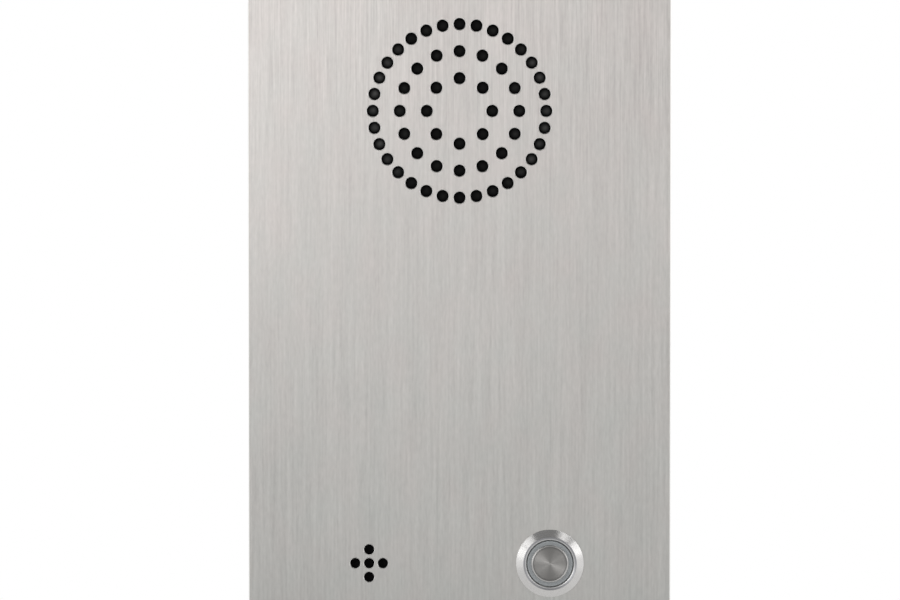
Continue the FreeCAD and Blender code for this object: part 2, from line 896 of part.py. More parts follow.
def make_studs_and_nuts():
    studs = new_body("panel_studs")
    section = stud_section(s.small_thread, s.small_weld_flange, s.small_stud_long)
    speaker_stud = turn(studs, section, -speaker_hole, speaker_z - speaker_hole)
    rows(studs, [speaker_stud], speaker_pitch, 2, speaker_pitch, 2)
    board_stud = turn(studs, section, -board_post_x, board_z - board_post_z)
    rows(studs, [board_stud], board_post_x * 2, 2, board_post_z * 2, 2)

    mic_studs = new_body("mic_studs")
    section = stud_section(s.small_thread, s.small_weld_flange, mic_stud_long)
    stud = turn(mic_studs, section, mic_x - s.mic_stud_apart / 2, controls_z)
    rows(mic_studs, [stud], s.mic_stud_apart, 2)

    nuts = new_body("stud_nuts")
    features = nut(nuts, -speaker_hole, speaker_z - speaker_hole, speaker_back)
    rows(nuts, features, speaker_pitch, 2, speaker_pitch, 2)
    features = nut(nuts, mic_x - s.mic_stud_apart / 2, controls_z, mic_bracket_back)
    rows(nuts, features, s.mic_stud_apart, 2)


# Membranes

def make_membranes():
    body = new_body("acoustic_membranes")
    speaker_radius = s.speaker_bore - s.gasket_hole_room
    turn(body, tube(0, speaker_radius, 0, s.membrane_thick), 0, speaker_z)
    turn(body, tube(0, s.mic_membrane, 0, s.membrane_thick), mic_x, controls_z)


# Speaker, its depths counted from the back of the panel

seat_deep = s.gasket_thick + s.speaker_seat_deep
waist_deep = s.gasket_thick + s.basket_waist_deep
foot_deep = s.gasket_thick + s.basket_foot_deep
basket_outer = s.speaker_bore + s.speaker_sheet
plate_front = foot_deep + s.speaker_sheet
magnet_front = plate_front + s.top_plate_thick
yoke_front = magnet_front + s.magnet_thick
yoke_back = yoke_front + s.yoke_thick
coil_outer = s.coil_radius + s.coil_former + s.coil_winding
pole_radius = s.coil_radius - s.coil_air
gap_radius = coil_outer + s.coil_air
coil_front = s.gasket_thick + s.coil_front_deep
neck_deep = s.gasket_thick + s.cone_neck_deep
coil_back = plate_front + s.top_plate_thick / 2 + s.coil_winding_long / 2


def speaker_body(name):
    return new_body(name, z=speaker_z)


def make_speaker_frame():
    body = speaker_body("speaker_frame")
    sheet_thick = s.speaker_sheet
    section = [
        (basket_outer, s.gasket_thick), (basket_outer, seat_deep + sheet_thick),
        (s.speaker_seat_inner + sheet_thick / 2, seat_deep + sheet_thick),
        (s.basket_waist + sheet_thick, waist_deep + sheet_thick),
        (s.spider_ledge_inner + sheet_thick / 2, waist_deep + sheet_thick),
        (s.basket_foot + sheet_thick / 2, foot_deep + sheet_thick),
        (s.basket_bore, foot_deep + sheet_thick), (s.basket_bore, foot_deep),
        (s.basket_foot, foot_deep), (s.spider_ledge_inner, waist_deep),
        (s.basket_waist, waist_deep), (s.speaker_seat_inner, seat_deep),
        (s.speaker_bore, seat_deep), (s.speaker_bore, s.gasket_thick)]
    turn(body, section)
    square = rounded_rectangle(0, 0, s.speaker_flange, s.speaker_flange, s.speaker_corner)
    inner = Round(0, 0, (s.speaker_bore + basket_outer) / 2)
    pad(body, [square, inner], s.gasket_thick, speaker_back)
    hole = pocket(body, [Round(-speaker_hole, -speaker_hole, s.small_clear_hole / 2)],
                  s.gasket_thick - OVER, speaker_back + OVER)
    rows(body, [hole], speaker_pitch, 2, speaker_pitch, 2)
    opening = tube(s.window_inner, s.window_outer, seat_deep, waist_deep + sheet_thick)
    window = turn_out(body, opening, angle=s.window_angle)
    around(body, window, BASKET_WINDOWS)


def make_speaker_gasket():
    body = speaker_body("speaker_gasket")
    square = rounded_rectangle(0, 0, s.speaker_flange, s.speaker_flange, s.speaker_corner)
    pad(body, [square, Round(0, 0, s.speaker_bore)], 0, s.gasket_thick)
    room = s.small_weld_flange / 2 + s.gasket_hole_room
    hole = pocket(body, [Round(-speaker_hole, -speaker_hole, room)], -OVER, s.gasket_thick + OVER)
    rows(body, [hole], speaker_pitch, 2, speaker_pitch, 2)


def make_speaker_soft_parts():
    surround = speaker_body("speaker_surround")
    sheet_thick = s.surround_sheet
    roll_out = s.speaker_seat_inner
    roll_in = s.cone_edge
    roll = (roll_out - roll_in) * NEARLY_HALF_ROUND
    inner_roll = (roll_out - roll_in - sheet_thick * 2) * NEARLY_HALF_ROUND
    top = seat_deep - sheet_thick
    turn(surround, [
        (s.speaker_bore, top), (roll_out, top), Bend(roll_in, top, -roll),
        (s.surround_inner, top), (s.surround_inner, seat_deep),
        (roll_in + sheet_thick, seat_deep),
        Bend(roll_out - sheet_thick, seat_deep, inner_roll), (s.speaker_bore, seat_deep)])

    spider = speaker_body("speaker_spider")
    inner = s.coil_radius + s.coil_former + s.tight_gap
    outer = s.basket_waist - s.tight_gap
    wave = s.spider_wave
    step = (outer - inner) / (SPIDER_WAVES + 2)
    low = waist_deep - s.spider_sheet
    ridge = [(inner + step * (index + 1), low - wave * (index % 2))
             for index in range(SPIDER_WAVES + 1)]
    upper = [(inner, low)] + ridge + [(outer, low)]
    lower = [(radius, deep + s.spider_sheet) for radius, deep in reversed(upper)]
    turn(spider, upper + lower)


def make_speaker_cone():
    cone = speaker_body("speaker_cone")
    paper = s.cone_sheet
    neck = s.coil_radius + s.coil_former + s.tight_gap
    slope_top = s.surround_inner - paper
    turn(cone, [
        (s.cone_edge - s.tight_gap, seat_deep), (s.cone_edge - s.tight_gap, seat_deep + paper),
        (slope_top, seat_deep + paper), (neck + paper, neck_deep), (neck, neck_deep),
        (neck, neck_deep - paper * 2), (slope_top, seat_deep)])

    coil = speaker_body("speaker_voice_coil")
    winding = coil_back - s.coil_winding_long
    former = s.coil_radius + s.coil_former
    turn(coil, [
        (s.coil_radius, coil_front), (former, coil_front), (former, winding),
        (coil_outer, winding), (coil_outer, coil_back), (s.coil_radius, coil_back)])

    cap = speaker_body("speaker_dust_cap")
    radius = s.dust_cap_radius
    down_the_cone = (slope_top - radius) / (slope_top - neck)
    edge = seat_deep + (neck_deep - paper * 2 - seat_deep) * down_the_cone - paper
    crown = edge - s.dust_cap_rise
    dome = (radius * radius + s.dust_cap_rise * s.dust_cap_rise) / (s.dust_cap_rise * 2)
    turn(cap, [
        (0, crown), Bend(radius, edge, dome), (radius, edge + paper), (radius - paper * 2, edge + paper),
        Bend(0, crown + paper, -dome)])


def make_speaker_motor():
    plate = speaker_body("speaker_top_plate")
    turn(plate, tube(gap_radius, s.top_plate_radius, plate_front, magnet_front))
    magnet = speaker_body("speaker_magnet")
    turn(magnet, tube(s.magnet_inner, s.magnet_radius, magnet_front, yoke_front))
    yoke = speaker_body("speaker_yoke")
    turn(yoke, [
        (0, plate_front), (pole_radius, plate_front), (pole_radius, yoke_front),
        (s.top_plate_radius, yoke_front), (s.top_plate_radius, yoke_back), (0, yoke_back)])


strip_front = seat_deep + s.speaker_sheet
strip_x = -(s.speaker_seat_inner + s.speaker_sheet + s.tag_strip_wide / 2)


def make_speaker_terminals():
    body = speaker_body("speaker_terminals")
    strip_back = strip_front + s.tag_strip_thick
    block(body, strip_x, 0, s.tag_strip_wide, s.tag_strip_long, strip_front, strip_back)
    tag = block(body, strip_x, -s.tag_pitch / 2, s.tag_thick, s.tag_wide,
                strip_back, strip_back + s.tag_long)
    rows(body, [tag], upward=s.tag_pitch, levels=2)


# Microphone

capsule_back = s.mic_chamber_deep + s.mic_capsule_long


def make_microphone():
    capsule_radius = s.mic_capsule / 2
    recess = s.mic_membrane + s.mic_gap
    hold = capsule_radius + s.mic_gap
    boot = new_body("mic_boot", x=mic_x, z=controls_z)
    turn(boot, [
        (recess, 0), (s.mic_boot, 0), (s.mic_boot, mic_boot_back), (s.mic_boot_back_hole, mic_boot_back),
        (s.mic_boot_back_hole, capsule_back), (hold, capsule_back), (hold, s.mic_chamber_deep),
        (s.mic_chamber, s.mic_chamber_deep), (s.mic_chamber, s.membrane_thick), (recess, s.membrane_thick)])

    capsule = new_body("mic_capsule", x=mic_x, z=controls_z)
    turn(capsule, tube(0, capsule_radius, s.mic_chamber_deep, capsule_back))

    bracket = new_body("mic_bracket", x=mic_x, z=controls_z)
    long = s.mic_stud_apart + s.mic_bracket_end * 2
    hole = s.small_clear_hole / 2
    pad(bracket, [
        rounded_rectangle(0, 0, long, s.mic_bracket_wide, s.mic_bracket_corner),
        Round(0, 0, s.mic_boot_back_hole), Round(-s.mic_stud_apart / 2, 0, hole),
        Round(s.mic_stud_apart / 2, 0, hole)], mic_boot_back, mic_bracket_back)


# Button, its depths counted from the back of the panel

bezel_top = front - s.bezel_tall
ring_outer = s.bezel_lip_inner - s.bezel_lip_bevel - s.moving_gap
collar_front = s.barrel_shoulder + s.stop_gap
collar_back = collar_front + s.ring_collar_tall
cap_top = bezel_top - s.cap_proud
cap_back = cap_top + s.cap_thick
cap_radius = s.ring_inner - s.tight_gap
head_back = cap_back + s.plunger_head_tall
contact_deep = s.base_front_deep + s.base_room_deep / 2
bridge_back = contact_deep - s.button_travel - s.stop_gap
bridge_front = bridge_back - s.bridge_thick
blade_back = s.base_rear_deep + s.blade_long


def button_body(name):
    return new_body(name, x=button_x, z=controls_z)


def make_button_shell():
    body = button_body("button_body")
    bore = s.bezel_lip_inner - s.bezel_lip_bevel
    lip = bezel_top + s.bezel_lip_drop
    thread = s.button_thread / 2
    groove_in, groove_out = s.seal_inner - s.tight_gap, s.seal_outer + s.tight_gap
    groove_floor = front - s.seal_thick
    turn(body, [
        (s.bezel_radius, front), (s.bezel_radius, front - s.bezel_edge), (s.bezel_cone_inner, bezel_top),
        (s.bezel_lip_inner, lip), (bore, lip + s.bezel_lip_bevel), (bore, s.barrel_shoulder),
        (s.barrel_room, s.barrel_shoulder), (s.barrel_room, s.barrel_long), (thread, s.barrel_long),
        (thread, front), (groove_in, front), (groove_in, groove_floor), (groove_out, groove_floor),
        (groove_out, front)])

    seal = button_body("button_seal")
    turn(seal, tube(s.seal_inner, s.seal_outer, front - s.seal_thick, front))

    locknut = button_body("button_locknut")
    hole = Round(0, 0, thread + s.tight_gap)
    pad(locknut, [hexagon(0, 0, s.locknut_flats), hole], 0, s.locknut_tall)


def make_button_moving():
    ring = button_body("button_light_ring")
    skirt = ring_outer - s.ring_bevel
    turn(ring, [
        (s.ring_inner, bezel_top), (skirt, bezel_top), (ring_outer, bezel_top + s.ring_bevel),
        (ring_outer, collar_front), (s.barrel_room - s.moving_gap, collar_front),
        (s.barrel_room - s.moving_gap, collar_back), (skirt, collar_back),
        (skirt, collar_back + s.ring_skirt_tall), (s.ring_inner, collar_back + s.ring_skirt_tall)])

    cap = button_body("button_cap")
    groove_in = s.cap_groove_radius - s.cap_groove_wide / 2
    groove_out = s.cap_groove_radius + s.cap_groove_wide / 2
    groove_floor = cap_top + s.cap_groove_deep
    stem_back = cap_back + s.cap_stem_long
    turn(cap, [
        (0, cap_top), (groove_in, cap_top), (groove_in, groove_floor), (groove_out, groove_floor),
        (groove_out, cap_top), (cap_radius - s.cap_bevel, cap_top), (cap_radius, cap_top + s.cap_bevel),
        (cap_radius, cap_back), (s.cap_stem, cap_back), (s.cap_stem, stem_back), (0, stem_back)])

    plunger = button_body("button_plunger")
    socket = s.cap_stem + s.tight_gap
    turn(plunger, [
        (0, stem_back), (socket, stem_back), (socket, cap_back), (cap_radius, cap_back),
        (cap_radius, head_back), (s.plunger_rod, head_back), (s.plunger_rod, bridge_front),
        (0, bridge_front)])

    bridge = button_body("button_contact_bridge")
    block(bridge, 0, 0, s.bridge_long, s.bridge_wide, bridge_front, bridge_back)


def blade_spots():
    """Middle of each terminal blade of the button, with its front depth."""
    return [(-s.contact_blade_out, 0, contact_deep), (s.contact_blade_out, 0, contact_deep),
            (0, -s.led_blade_out, s.base_front_deep), (0, s.led_blade_out, s.base_front_deep)]


def make_button_rear():
    base = button_body("button_base")
    inside = s.barrel_room - s.tight_gap
    collar_end = s.barrel_long + s.base_collar_tall
    turn(base, [
        (0, s.base_front_deep), (inside, s.base_front_deep), (inside, s.barrel_long),
        (s.base_collar_radius, s.barrel_long), (s.base_collar_radius, collar_end),
        (s.base_body_radius, collar_end), (s.base_body_radius, s.base_rear_deep), (0, s.base_rear_deep)])
    room_floor = s.base_front_deep + s.base_room_deep
    pocket(base, [Round(0, 0, s.base_room)], s.base_front_deep - OVER, room_floor)
    slack = s.tight_gap * 2
    slots = [rectangle(x, z, s.blade_wide + slack, s.blade_thick + slack) for x, z, deep in blade_spots()]
    pocket(base, slots, s.base_front_deep - OVER, s.base_rear_deep + OVER)

    blades = button_body("button_terminals")
    for x, z, deep in blade_spots():
        block(blades, x, z, s.blade_wide, s.blade_thick, deep, blade_back)

    board = button_body("button_led_board")
    board_front = s.base_front_deep - s.led_board_thick
    turn(board, tube(s.led_board_inner, inside, board_front, s.base_front_deep))
    middle = (s.led_board_inner + inside) / 2
    led = block(board, middle, 0, s.led_wide, s.led_wide, board_front - s.led_tall, board_front)
    around(board, led, BUTTON_LAMPS)

    socket = button_body("button_connector")
    socket_front = s.base_rear_deep + s.socket_gap
    outline = rounded_rectangle(0, 0, s.socket_wide, s.socket_wide, s.socket_corner)
    pad(socket, [outline], socket_front, socket_front + s.socket_long)
    pocket(socket, slots, socket_front - OVER, blade_back + s.stop_gap)


def biarc(start, start_way, end, end_way):
    """Two tangent arcs from one point and direction to another."""
    gap = end - start
    ways = start_way + end_way
    turning = 2 * (1 - start_way.dot(end_way))
    reach = (-gap.dot(ways) + math.sqrt(gap.dot(ways) ** 2 + turning * gap.dot(gap))) / turning
    middle = (start + end + (start_way - end_way) * reach) * 0.5
    return [bow(start, start_way, middle), bow(end, -end_way, middle).reversed()]


def bow(start, way, end):
    """The arc that leaves start along way and ends at end."""
    chord = end - start
    along = chord * (1 / chord.Length)
    side = way - along * way.dot(along)
    lean = math.atan2(side.Length, way.dot(along))
    side.normalize()
    crown = (start + end) * 0.5 + side * (chord.Length / 2 * math.tan(lean / 2))
    return Part.Arc(start, crown, end).toShape()


def make_button_spring():
    """The return spring between the plunger's head and the base, one unbroken wire."""
    radius = float(s.spring_radius)
    wire = float(s.spring_wire)
    turns = float(s.spring_turns)
    low = float(head_back) + wire / 2
    high = float(s.base_front_deep) - wire / 2
    climb = (high - low) / (2 * math.pi * turns)
    steps = int(round(turns * SPRING_ARCS_PER_TURN))
    spots = []
    for step in range(steps + 1):
        angle = 2 * math.pi * turns * step / steps
        spot = FreeCAD.Vector(radius * math.cos(angle), low + climb * angle, radius * math.sin(angle))
        way = FreeCAD.Vector(-radius * math.sin(angle), climb, radius * math.cos(angle)).normalize()
        spots.append((spot, way))
    edges = []
    for (start, start_way), (end, end_way) in zip(spots, spots[1:]):
        edges += biarc(start, start_way, end, end_way)
    path = Part.Wire(edges)
    section = Part.Wire(Part.makeCircle(wire / 2, spots[0][0], spots[0][1]))
    spring = doc.addObject("Part::Feature", "button_spring")
    spring.Label = "button_spring"
    spring.Shape = path.makePipeShell([section], True, False)
    spring.Placement = FreeCAD.Placement(
        FreeCAD.Vector(float(button_x), 0, float(controls_z)), FreeCAD.Rotation())
    pieces.append(spring)
    print("spring least gap", round(climb * 2 * math.pi - wire, 2))


# Main board and its posts

def make_main_board():
    board = new_body("main_board")
    outline = rounded_rectangle(0, board_z, s.board_width, s.board_height, s.board_corner)
    pad(board, [outline], board_front, board_back)
    hole = pocket(board, [Round(-board_post_x, board_z - board_post_z, s.small_clear_hole / 2)],
                  board_front - OVER, board_back + OVER)
    rows(board, [hole], board_post_x * 2, 2, board_post_z * 2, 2)

    posts = new_body("board_standoffs")
    x, z = -board_post_x, board_z - board_post_z
    post = pad(posts, [hexagon(x, z, s.board_post_flats)], 0, board_front)
    flange_room = s.small_weld_flange / 2 + s.flange_gap
    flange_deep = s.weld_flange_thick + s.flange_gap
    bore = s.small_thread / 2
    stud_bore = turn_out(posts, [
        (0, -OVER), (flange_room, -OVER), (flange_room, flange_deep), (bore, flange_deep),
        (bore, s.small_stud_long + OVER), (0, s.small_stud_long + OVER)], x, z)
    deep = board_front - s.small_screw_long
    screw_bore = turn_out(posts, tube(0, bore, deep, board_front + OVER), x, z)
    rows(posts, [post, stud_bore, screw_bore], board_post_x * 2, 2, board_post_z * 2, 2)

    screws = new_body("board_screws")
    features = pan_screw(screws, x, z, board_back, s.small_thread, s.small_screw_long,
                         s.small_head, s.small_head_tall, s.small_socket)
    rows(screws, features, board_post_x * 2, 2, board_post_z * 2, 2)


# Network jack

jack_mouth = s.housing_depth - s.jack_recess
mouth_floor = jack_mouth - s.jack_mouth_deep
mouth_top = s.jack_mouth_up + s.jack_mouth_tall / 2


def make_network_jack():
    body = new_body("network_jack", x=jack_x, z=jack_z)
    block(body, 0, 0, s.jack_wide, s.jack_tall, board_back, jack_mouth)
    mouth_low = s.jack_mouth_up - s.jack_mouth_tall / 2
    latch_low = mouth_low - s.latch_tall
    tip_low = latch_low - s.latch_tip_tall
    half, latch, tip = s.jack_mouth_wide / 2, s.latch_wide / 2, s.latch_tip_wide / 2
    pocket(body, [[
        (-half, mouth_top), (-half, mouth_low), (-latch, mouth_low), (-latch, latch_low),
        (-tip, latch_low), (-tip, tip_low), (tip, tip_low), (tip, latch_low), (latch, latch_low),
        (latch, mouth_low), (half, mouth_low), (half, mouth_top)]], mouth_floor, jack_mouth + OVER)

    pins = new_body("network_jack_contacts", x=jack_x, z=jack_z)
    start = jack_mouth - s.jack_pin_wide
    rest = start - s.jack_pin_flat
    end = start - s.jack_pin_reach
    thick = s.jack_pin_wide
    across = s.jack_pin_pitch * (JACK_PINS - 1)
    sketch = sketch_on(pins, "YZ_Plane", lift=-across / 2 - thick / 2)
    draw(sketch, [[
        (start, mouth_top), (start, mouth_top - thick), (rest, mouth_top - thick),
        (end, mouth_top - s.jack_pin_drop - thick), (end, mouth_top - s.jack_pin_drop), (rest, mouth_top)]])
    pin = pins.newObject("PartDesign::Pad", "pin_pad")
    pin.Profile = sketch
    bind(pin, "Length", thick)
    settle(pins, pin)
    rows(pins, [pin], across, JACK_PINS)


# Terminal block

def make_terminal_block():
    header = new_body("terminal_header", x=terminal_x, z=terminal_z)
    gap, wall = s.terminal_gap, s.terminal_wall
    room_wide = terminal_plug_wide + gap * 2
    room_deep = terminal_plug_deep + gap * 2
    floor = board_back + s.terminal_floor
    top = board_back + s.terminal_header_tall
    block(header, 0, 0, room_wide + wall * 2, room_deep + wall * 2, board_back, top)
    pocket(header, [rectangle(0, 0, room_wide, room_deep)], floor, top + OVER)
    across = s.terminal_pitch * (TERMINAL_POLES - 1)
    first = -across / 2
    pin = block(header, first, 0, s.terminal_pin, s.terminal_pin, floor, top - wall)
    rows(header, [pin], across, TERMINAL_POLES)

    plug = new_body("terminal_plug", x=terminal_x, z=terminal_z)
    plug_front = floor + gap
    plug_back = floor + s.terminal_plug_tall
    block(plug, 0, 0, terminal_plug_wide, terminal_plug_deep, plug_front, plug_back)
    pin_wide = s.terminal_pin + gap * 2
    pin_room = pocket(plug, [rectangle(first, 0, pin_wide, pin_wide)], plug_front - OVER, top)
    entry = pocket(plug, [rectangle(first, -s.terminal_entry_down, s.terminal_entry, s.terminal_entry)],
                   plug_back - s.terminal_entry_deep, plug_back + OVER)
    screw_radius = s.terminal_screw / 2
    screw_deep = plug_back - s.terminal_screw_back
    side = terminal_plug_deep / 2
    sketch = sketch_on(plug, "XY_Plane", lift=side)
    draw(sketch, [Round(first, screw_deep, screw_radius + s.tight_gap)])
    bore = plug.newObject("PartDesign::Pocket", "screw_bore")
    bore.Profile = sketch
    bind(bore, "Length", s.terminal_screw_long + gap)
    settle(plug, bore, cuts=True)
    rows(plug, [pin_room, entry, bore], across, TERMINAL_POLES)

    screws = new_body("terminal_screws", x=terminal_x, z=terminal_z)
    sketch = sketch_on(screws, "XY_Plane", lift=side - gap - s.terminal_screw_long)
    draw(sketch, [Round(first, screw_deep, screw_radius)])
    screw = screws.newObject("PartDesign::Pad", "screw_pad")
    screw.Profile = sketch
    bind(screw, "Length", s.terminal_screw_long)
    settle(screws, screw)
    sketch = sketch_on(screws, "XY_Plane", lift=side - gap)
    slot = s.terminal_slot
    draw(sketch, [rectangle(first, screw_deep, slot, s.terminal_screw * 2)])
    groove = screws.newObject("PartDesign::Pocket", "screw_slot")
    groove.Profile = sketch
    bind(groove, "Length", slot)
    settle(screws, groove, cuts=True)
    rows(screws, [screw, groove], across, TERMINAL_POLES)


# Small parts of the board

def legged_chip(body, x, z, wide, deep, tall, legs):
    """A moulded block with a row of legs along each long side."""
    block(body, x, z, wide, deep, board_back, board_back + tall)
    across = s.chip_leg_pitch * (legs - 1)
    reach = deep + s.chip_leg_out * 2
    leg = block(body, x - across / 2, z, s.chip_leg, reach, board_back, board_back + s.chip_leg)
    rows(body, [leg], across, legs)


def make_board_parts():
    transformer = new_body("network_transformer")
    legged_chip(transformer, jack_x, jack_z + s.transformer_over_jack, s.transformer_long,
                s.transformer_wide, s.transformer_tall, TRANSFORMER_LEGS)

    power = new_body("power_transformer")
    x, z = s.power_right, board_low + s.power_inset_z
    block(power, x, z, s.power_wide, s.power_core, board_back, board_back + s.power_tall)
    block(power, x, z, s.power_core, s.power_wide, board_back, board_back + s.power_bobbin_tall)

    capacitors = new_body("capacitors")
    x, z = board_right - s.capacitor_inset_x, board_low + s.capacitor_inset_z
    radius, tall = s.capacitor_radius, board_back + s.capacitor_tall
    crimp, neck = board_back + s.capacitor_crimp_up, radius - s.capacitor_crimp
    edge = s.capacitor_edge
    can = turn(capacitors, [
        (0, board_back), (radius, board_back), (radius, crimp - edge), (neck, crimp),
        (radius, crimp + edge), (radius, tall - edge), (radius - edge, tall), (0, tall)], x, z)
    rows(capacitors, [can], upward=s.capacitor_step * (CAPACITORS - 1), levels=CAPACITORS)

    processor = new_body("processor")
    x, z = board_left + s.processor_inset_x, board_low + s.processor_inset_z
    block(processor, x, z, s.processor_wide, s.processor_wide, board_back, board_back + s.processor_tall)

    memory = new_body("memory_chips")
    legged_chip(memory, board_left + s.memory_inset_x, board_low + s.memory_inset_z,
                s.memory_wide, s.memory_deep, s.memory_tall, MEMORY_LEGS)
    whole_rows(memory, s.memory_step)

    amplifier = new_body("audio_amplifier")
    legged_chip(amplifier, s.amplifier_right, board_low + s.amplifier_inset_z, s.amplifier_wide,
                s.amplifier_wide, s.amplifier_tall, AMPLIFIER_LEGS)

    inductors = new_body("power_inductors")
    block(inductors, -s.inductor_left, board_low + s.inductor_inset_z, s.inductor_wide,
          s.inductor_wide, board_back, board_back + s.inductor_tall)
    bevel(inductors, edges_where(inductors, runs_deep), s.inductor_corner)
    whole_rows(inductors, s.inductor_step)

    switch = new_body("reset_switch", x=reset_x, z=reset_z)
    key_room = s.reset_key + s.moving_gap
    key_front = board_back + s.reset_tall - s.reset_key_in
    pad(switch, [rectangle(0, 0, s.reset_wide, s.reset_wide)], board_back, board_back + s.reset_tall)
    room_floor = key_front - s.reset_travel - s.reset_room
    pocket(switch, [Round(0, 0, key_room)], room_floor, board_back + s.reset_tall + OVER)
    key = new_body("reset_key", x=reset_x, z=reset_z)
    turn(key, tube(0, s.reset_key, key_front, housing_inside - s.reset_key_gap))


# Harness

lead_deep = board_back + s.header_tall / 2
header_room_deep = s.header_deep - s.header_wall
header_room_wide = s.header_wide - s.header_wall * 2
header_room_tall = s.header_tall - s.header_wall * 2


def header_places():
    """X of each board header, Z of its mouth, and the way that the mouth looks along Z."""
    return [(-s.mic_header_left, board_low - s.header_proud, -1),
            (0, board_low - s.header_proud, -1),
            (0, board_high + s.header_proud, 1)]


def make_headers_and_plugs():
    headers = new_body("lead_headers")
    plugs = new_body("lead_plugs")
    low = board_back + s.header_wall
    for x, mouth, way in header_places():
        middle = mouth - way * s.header_deep / 2
        block(headers, x, middle, s.header_wide, s.header_deep, board_back, board_back + s.header_tall)
        middle = mouth - way * header_room_deep / 2
        pocket(headers, [rectangle(x, middle, header_room_wide, header_room_deep)],
               low, low + header_room_tall)
        long = header_room_deep - s.plug_gap + s.plug_out
        middle = mouth + way * (s.plug_out - long / 2)
        block(plugs, x, middle, header_room_wide - s.plug_gap * 2, long,
              low + s.plug_gap, low + header_room_tall - s.plug_gap)


def lead_path(points):
    """Straight runs joined by tangent arcs, each as large as its two runs allow, and the radii."""
    edges = []
    radii = []
    here = points[0]
    for before, corner, after in zip(points, points[1:], points[2:]):
        way_in = (corner - before).normalize()
        way_out = (after - corner).normalize()
        half_turn = way_in.getAngle(way_out) / 2
        reach = 0.45 * min((corner - before).Length, (after - corner).Length)
        radius = reach / math.tan(half_turn)
        start = corner - way_in * reach
        end = corner + way_out * reach
        to_middle = (way_out - way_in).normalize()
        crown = corner + to_middle * (radius / math.cos(half_turn) - radius)
        edges += [Part.LineSegment(here, start).toShape(), Part.Arc(start, crown, end).toShape()]
        radii.append(round(radius, 1))
        here = end
    edges.append(Part.LineSegment(here, points[-1]).toShape())
    return Part.Wire(edges), radii


def make_lead(name, points, size):
    """A round sheathed lead, held inside the housing from its first point to its last."""
    radius = float(size) / 2
    points = [FreeCAD.Vector(*[float(value) for value in point]) for point in points]
    path, radii = lead_path(points)
    section = Part.Wire(Part.makeCircle(radius, points[0], points[1] - points[0]))
    lead = doc.addObject("Part::Feature", name)
    lead.Label = name
    lead.Shape = path.makePipeShell([section], True, False)
    pieces.append(lead)
    expected = math.pi * radius * radius * path.Length
    print(name, "radii", radii, "volume over section times length", round(lead.Shape.Volume / expected, 4))


def make_leads():
    plug_low = board_low - s.header_proud - s.plug_out
    plug_high = board_high + s.header_proud + s.plug_out
    tag_deep = strip_front + s.tag_strip_thick + s.tag_long / 2
    tag_low = speaker_z - s.tag_pitch / 2 - s.tag_wide / 2
    make_lead("speaker_lead", [
        (0, lead_deep, plug_high), (0, lead_deep, plug_high + 10),
        (-7, lead_deep - 1, plug_high + 18), (-18, tag_deep + 9.5, tag_low - 18.5),
        (-29, tag_deep + 3.5, tag_low - 15), (strip_x, tag_deep, tag_low - 8.5),
        (strip_x, tag_deep, tag_low)], s.speaker_lead)
    make_lead("mic_lead", [
        (mic_x, capsule_back, controls_z), (mic_x, capsule_back + 6.8, controls_z),
        (mic_x + 1, capsule_back + 13.3, controls_z + 2.5), (mic_x + 5, lead_deep - 0.4, controls_z + 8),
        (-s.mic_header_left, lead_deep, plug_low - 5), (-s.mic_header_left, lead_deep, plug_low)],
        s.mic_lead)
    socket_side = button_x - s.socket_wide / 2
    socket_deep = s.base_rear_deep + s.socket_gap + s.socket_long / 2
    make_lead("button_lead", [
        (socket_side, socket_deep, controls_z), (socket_side - 9, socket_deep, controls_z),
        (socket_side - 18, socket_deep, controls_z + 3), (0, lead_deep, plug_low - 7.5),
        (0, lead_deep, plug_low)], s.button_lead)


for make in (make_front_panel, make_gaskets, make_rear_housing, make_housing_fasteners,
             make_studs_and_nuts, make_membranes, make_speaker_frame, make_speaker_gasket,
             make_speaker_soft_parts, make_speaker_cone, make_speaker_motor, make_speaker_terminals,
             make_microphone, make_button_shell, make_button_moving, make_button_rear,
             make_button_spring, make_main_board, make_network_jack, make_terminal_block,
             make_board_parts, make_headers_and_plugs, make_leads):
    make()
doc.recompute()
for item in doc.Objects:
    if "Invalid" in item.State or "Error" in item.State:
        raise ValueError(f"{item.Label} failed: {item.State}")
os.makedirs("parts", exist_ok=True)
for piece in pieces:
    shape = piece.Shape
    if shape.isNull() or not shape.isValid():
        raise ValueError(f"{piece.Label} has no valid shape")
    shape.exportStep(f"parts/{piece.Label}.step")
    print(piece.Label, len(shape.Solids), round(shape.Volume, 1))
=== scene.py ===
# Flush stainless steel call panel: speaker grille, microphone opening and one push button in front,
# the speaker, board, ports and steel cover behind. Metres, X right, Z up, the front looks along -Y.

import math

import bpy
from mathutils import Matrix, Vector


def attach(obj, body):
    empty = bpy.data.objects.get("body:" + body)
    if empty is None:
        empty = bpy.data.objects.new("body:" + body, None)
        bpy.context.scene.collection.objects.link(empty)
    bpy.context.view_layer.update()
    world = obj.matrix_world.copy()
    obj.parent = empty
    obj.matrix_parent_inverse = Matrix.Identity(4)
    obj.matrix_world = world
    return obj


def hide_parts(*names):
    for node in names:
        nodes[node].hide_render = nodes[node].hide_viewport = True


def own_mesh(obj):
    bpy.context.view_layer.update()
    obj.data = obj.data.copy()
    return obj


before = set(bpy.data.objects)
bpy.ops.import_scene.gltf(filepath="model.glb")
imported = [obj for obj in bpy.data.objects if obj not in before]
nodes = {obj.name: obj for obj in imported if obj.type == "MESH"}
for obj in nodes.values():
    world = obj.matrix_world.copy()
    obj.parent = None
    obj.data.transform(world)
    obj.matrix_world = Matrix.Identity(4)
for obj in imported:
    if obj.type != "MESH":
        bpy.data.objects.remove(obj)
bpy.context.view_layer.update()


# Places and sizes that several pieces and finishes share

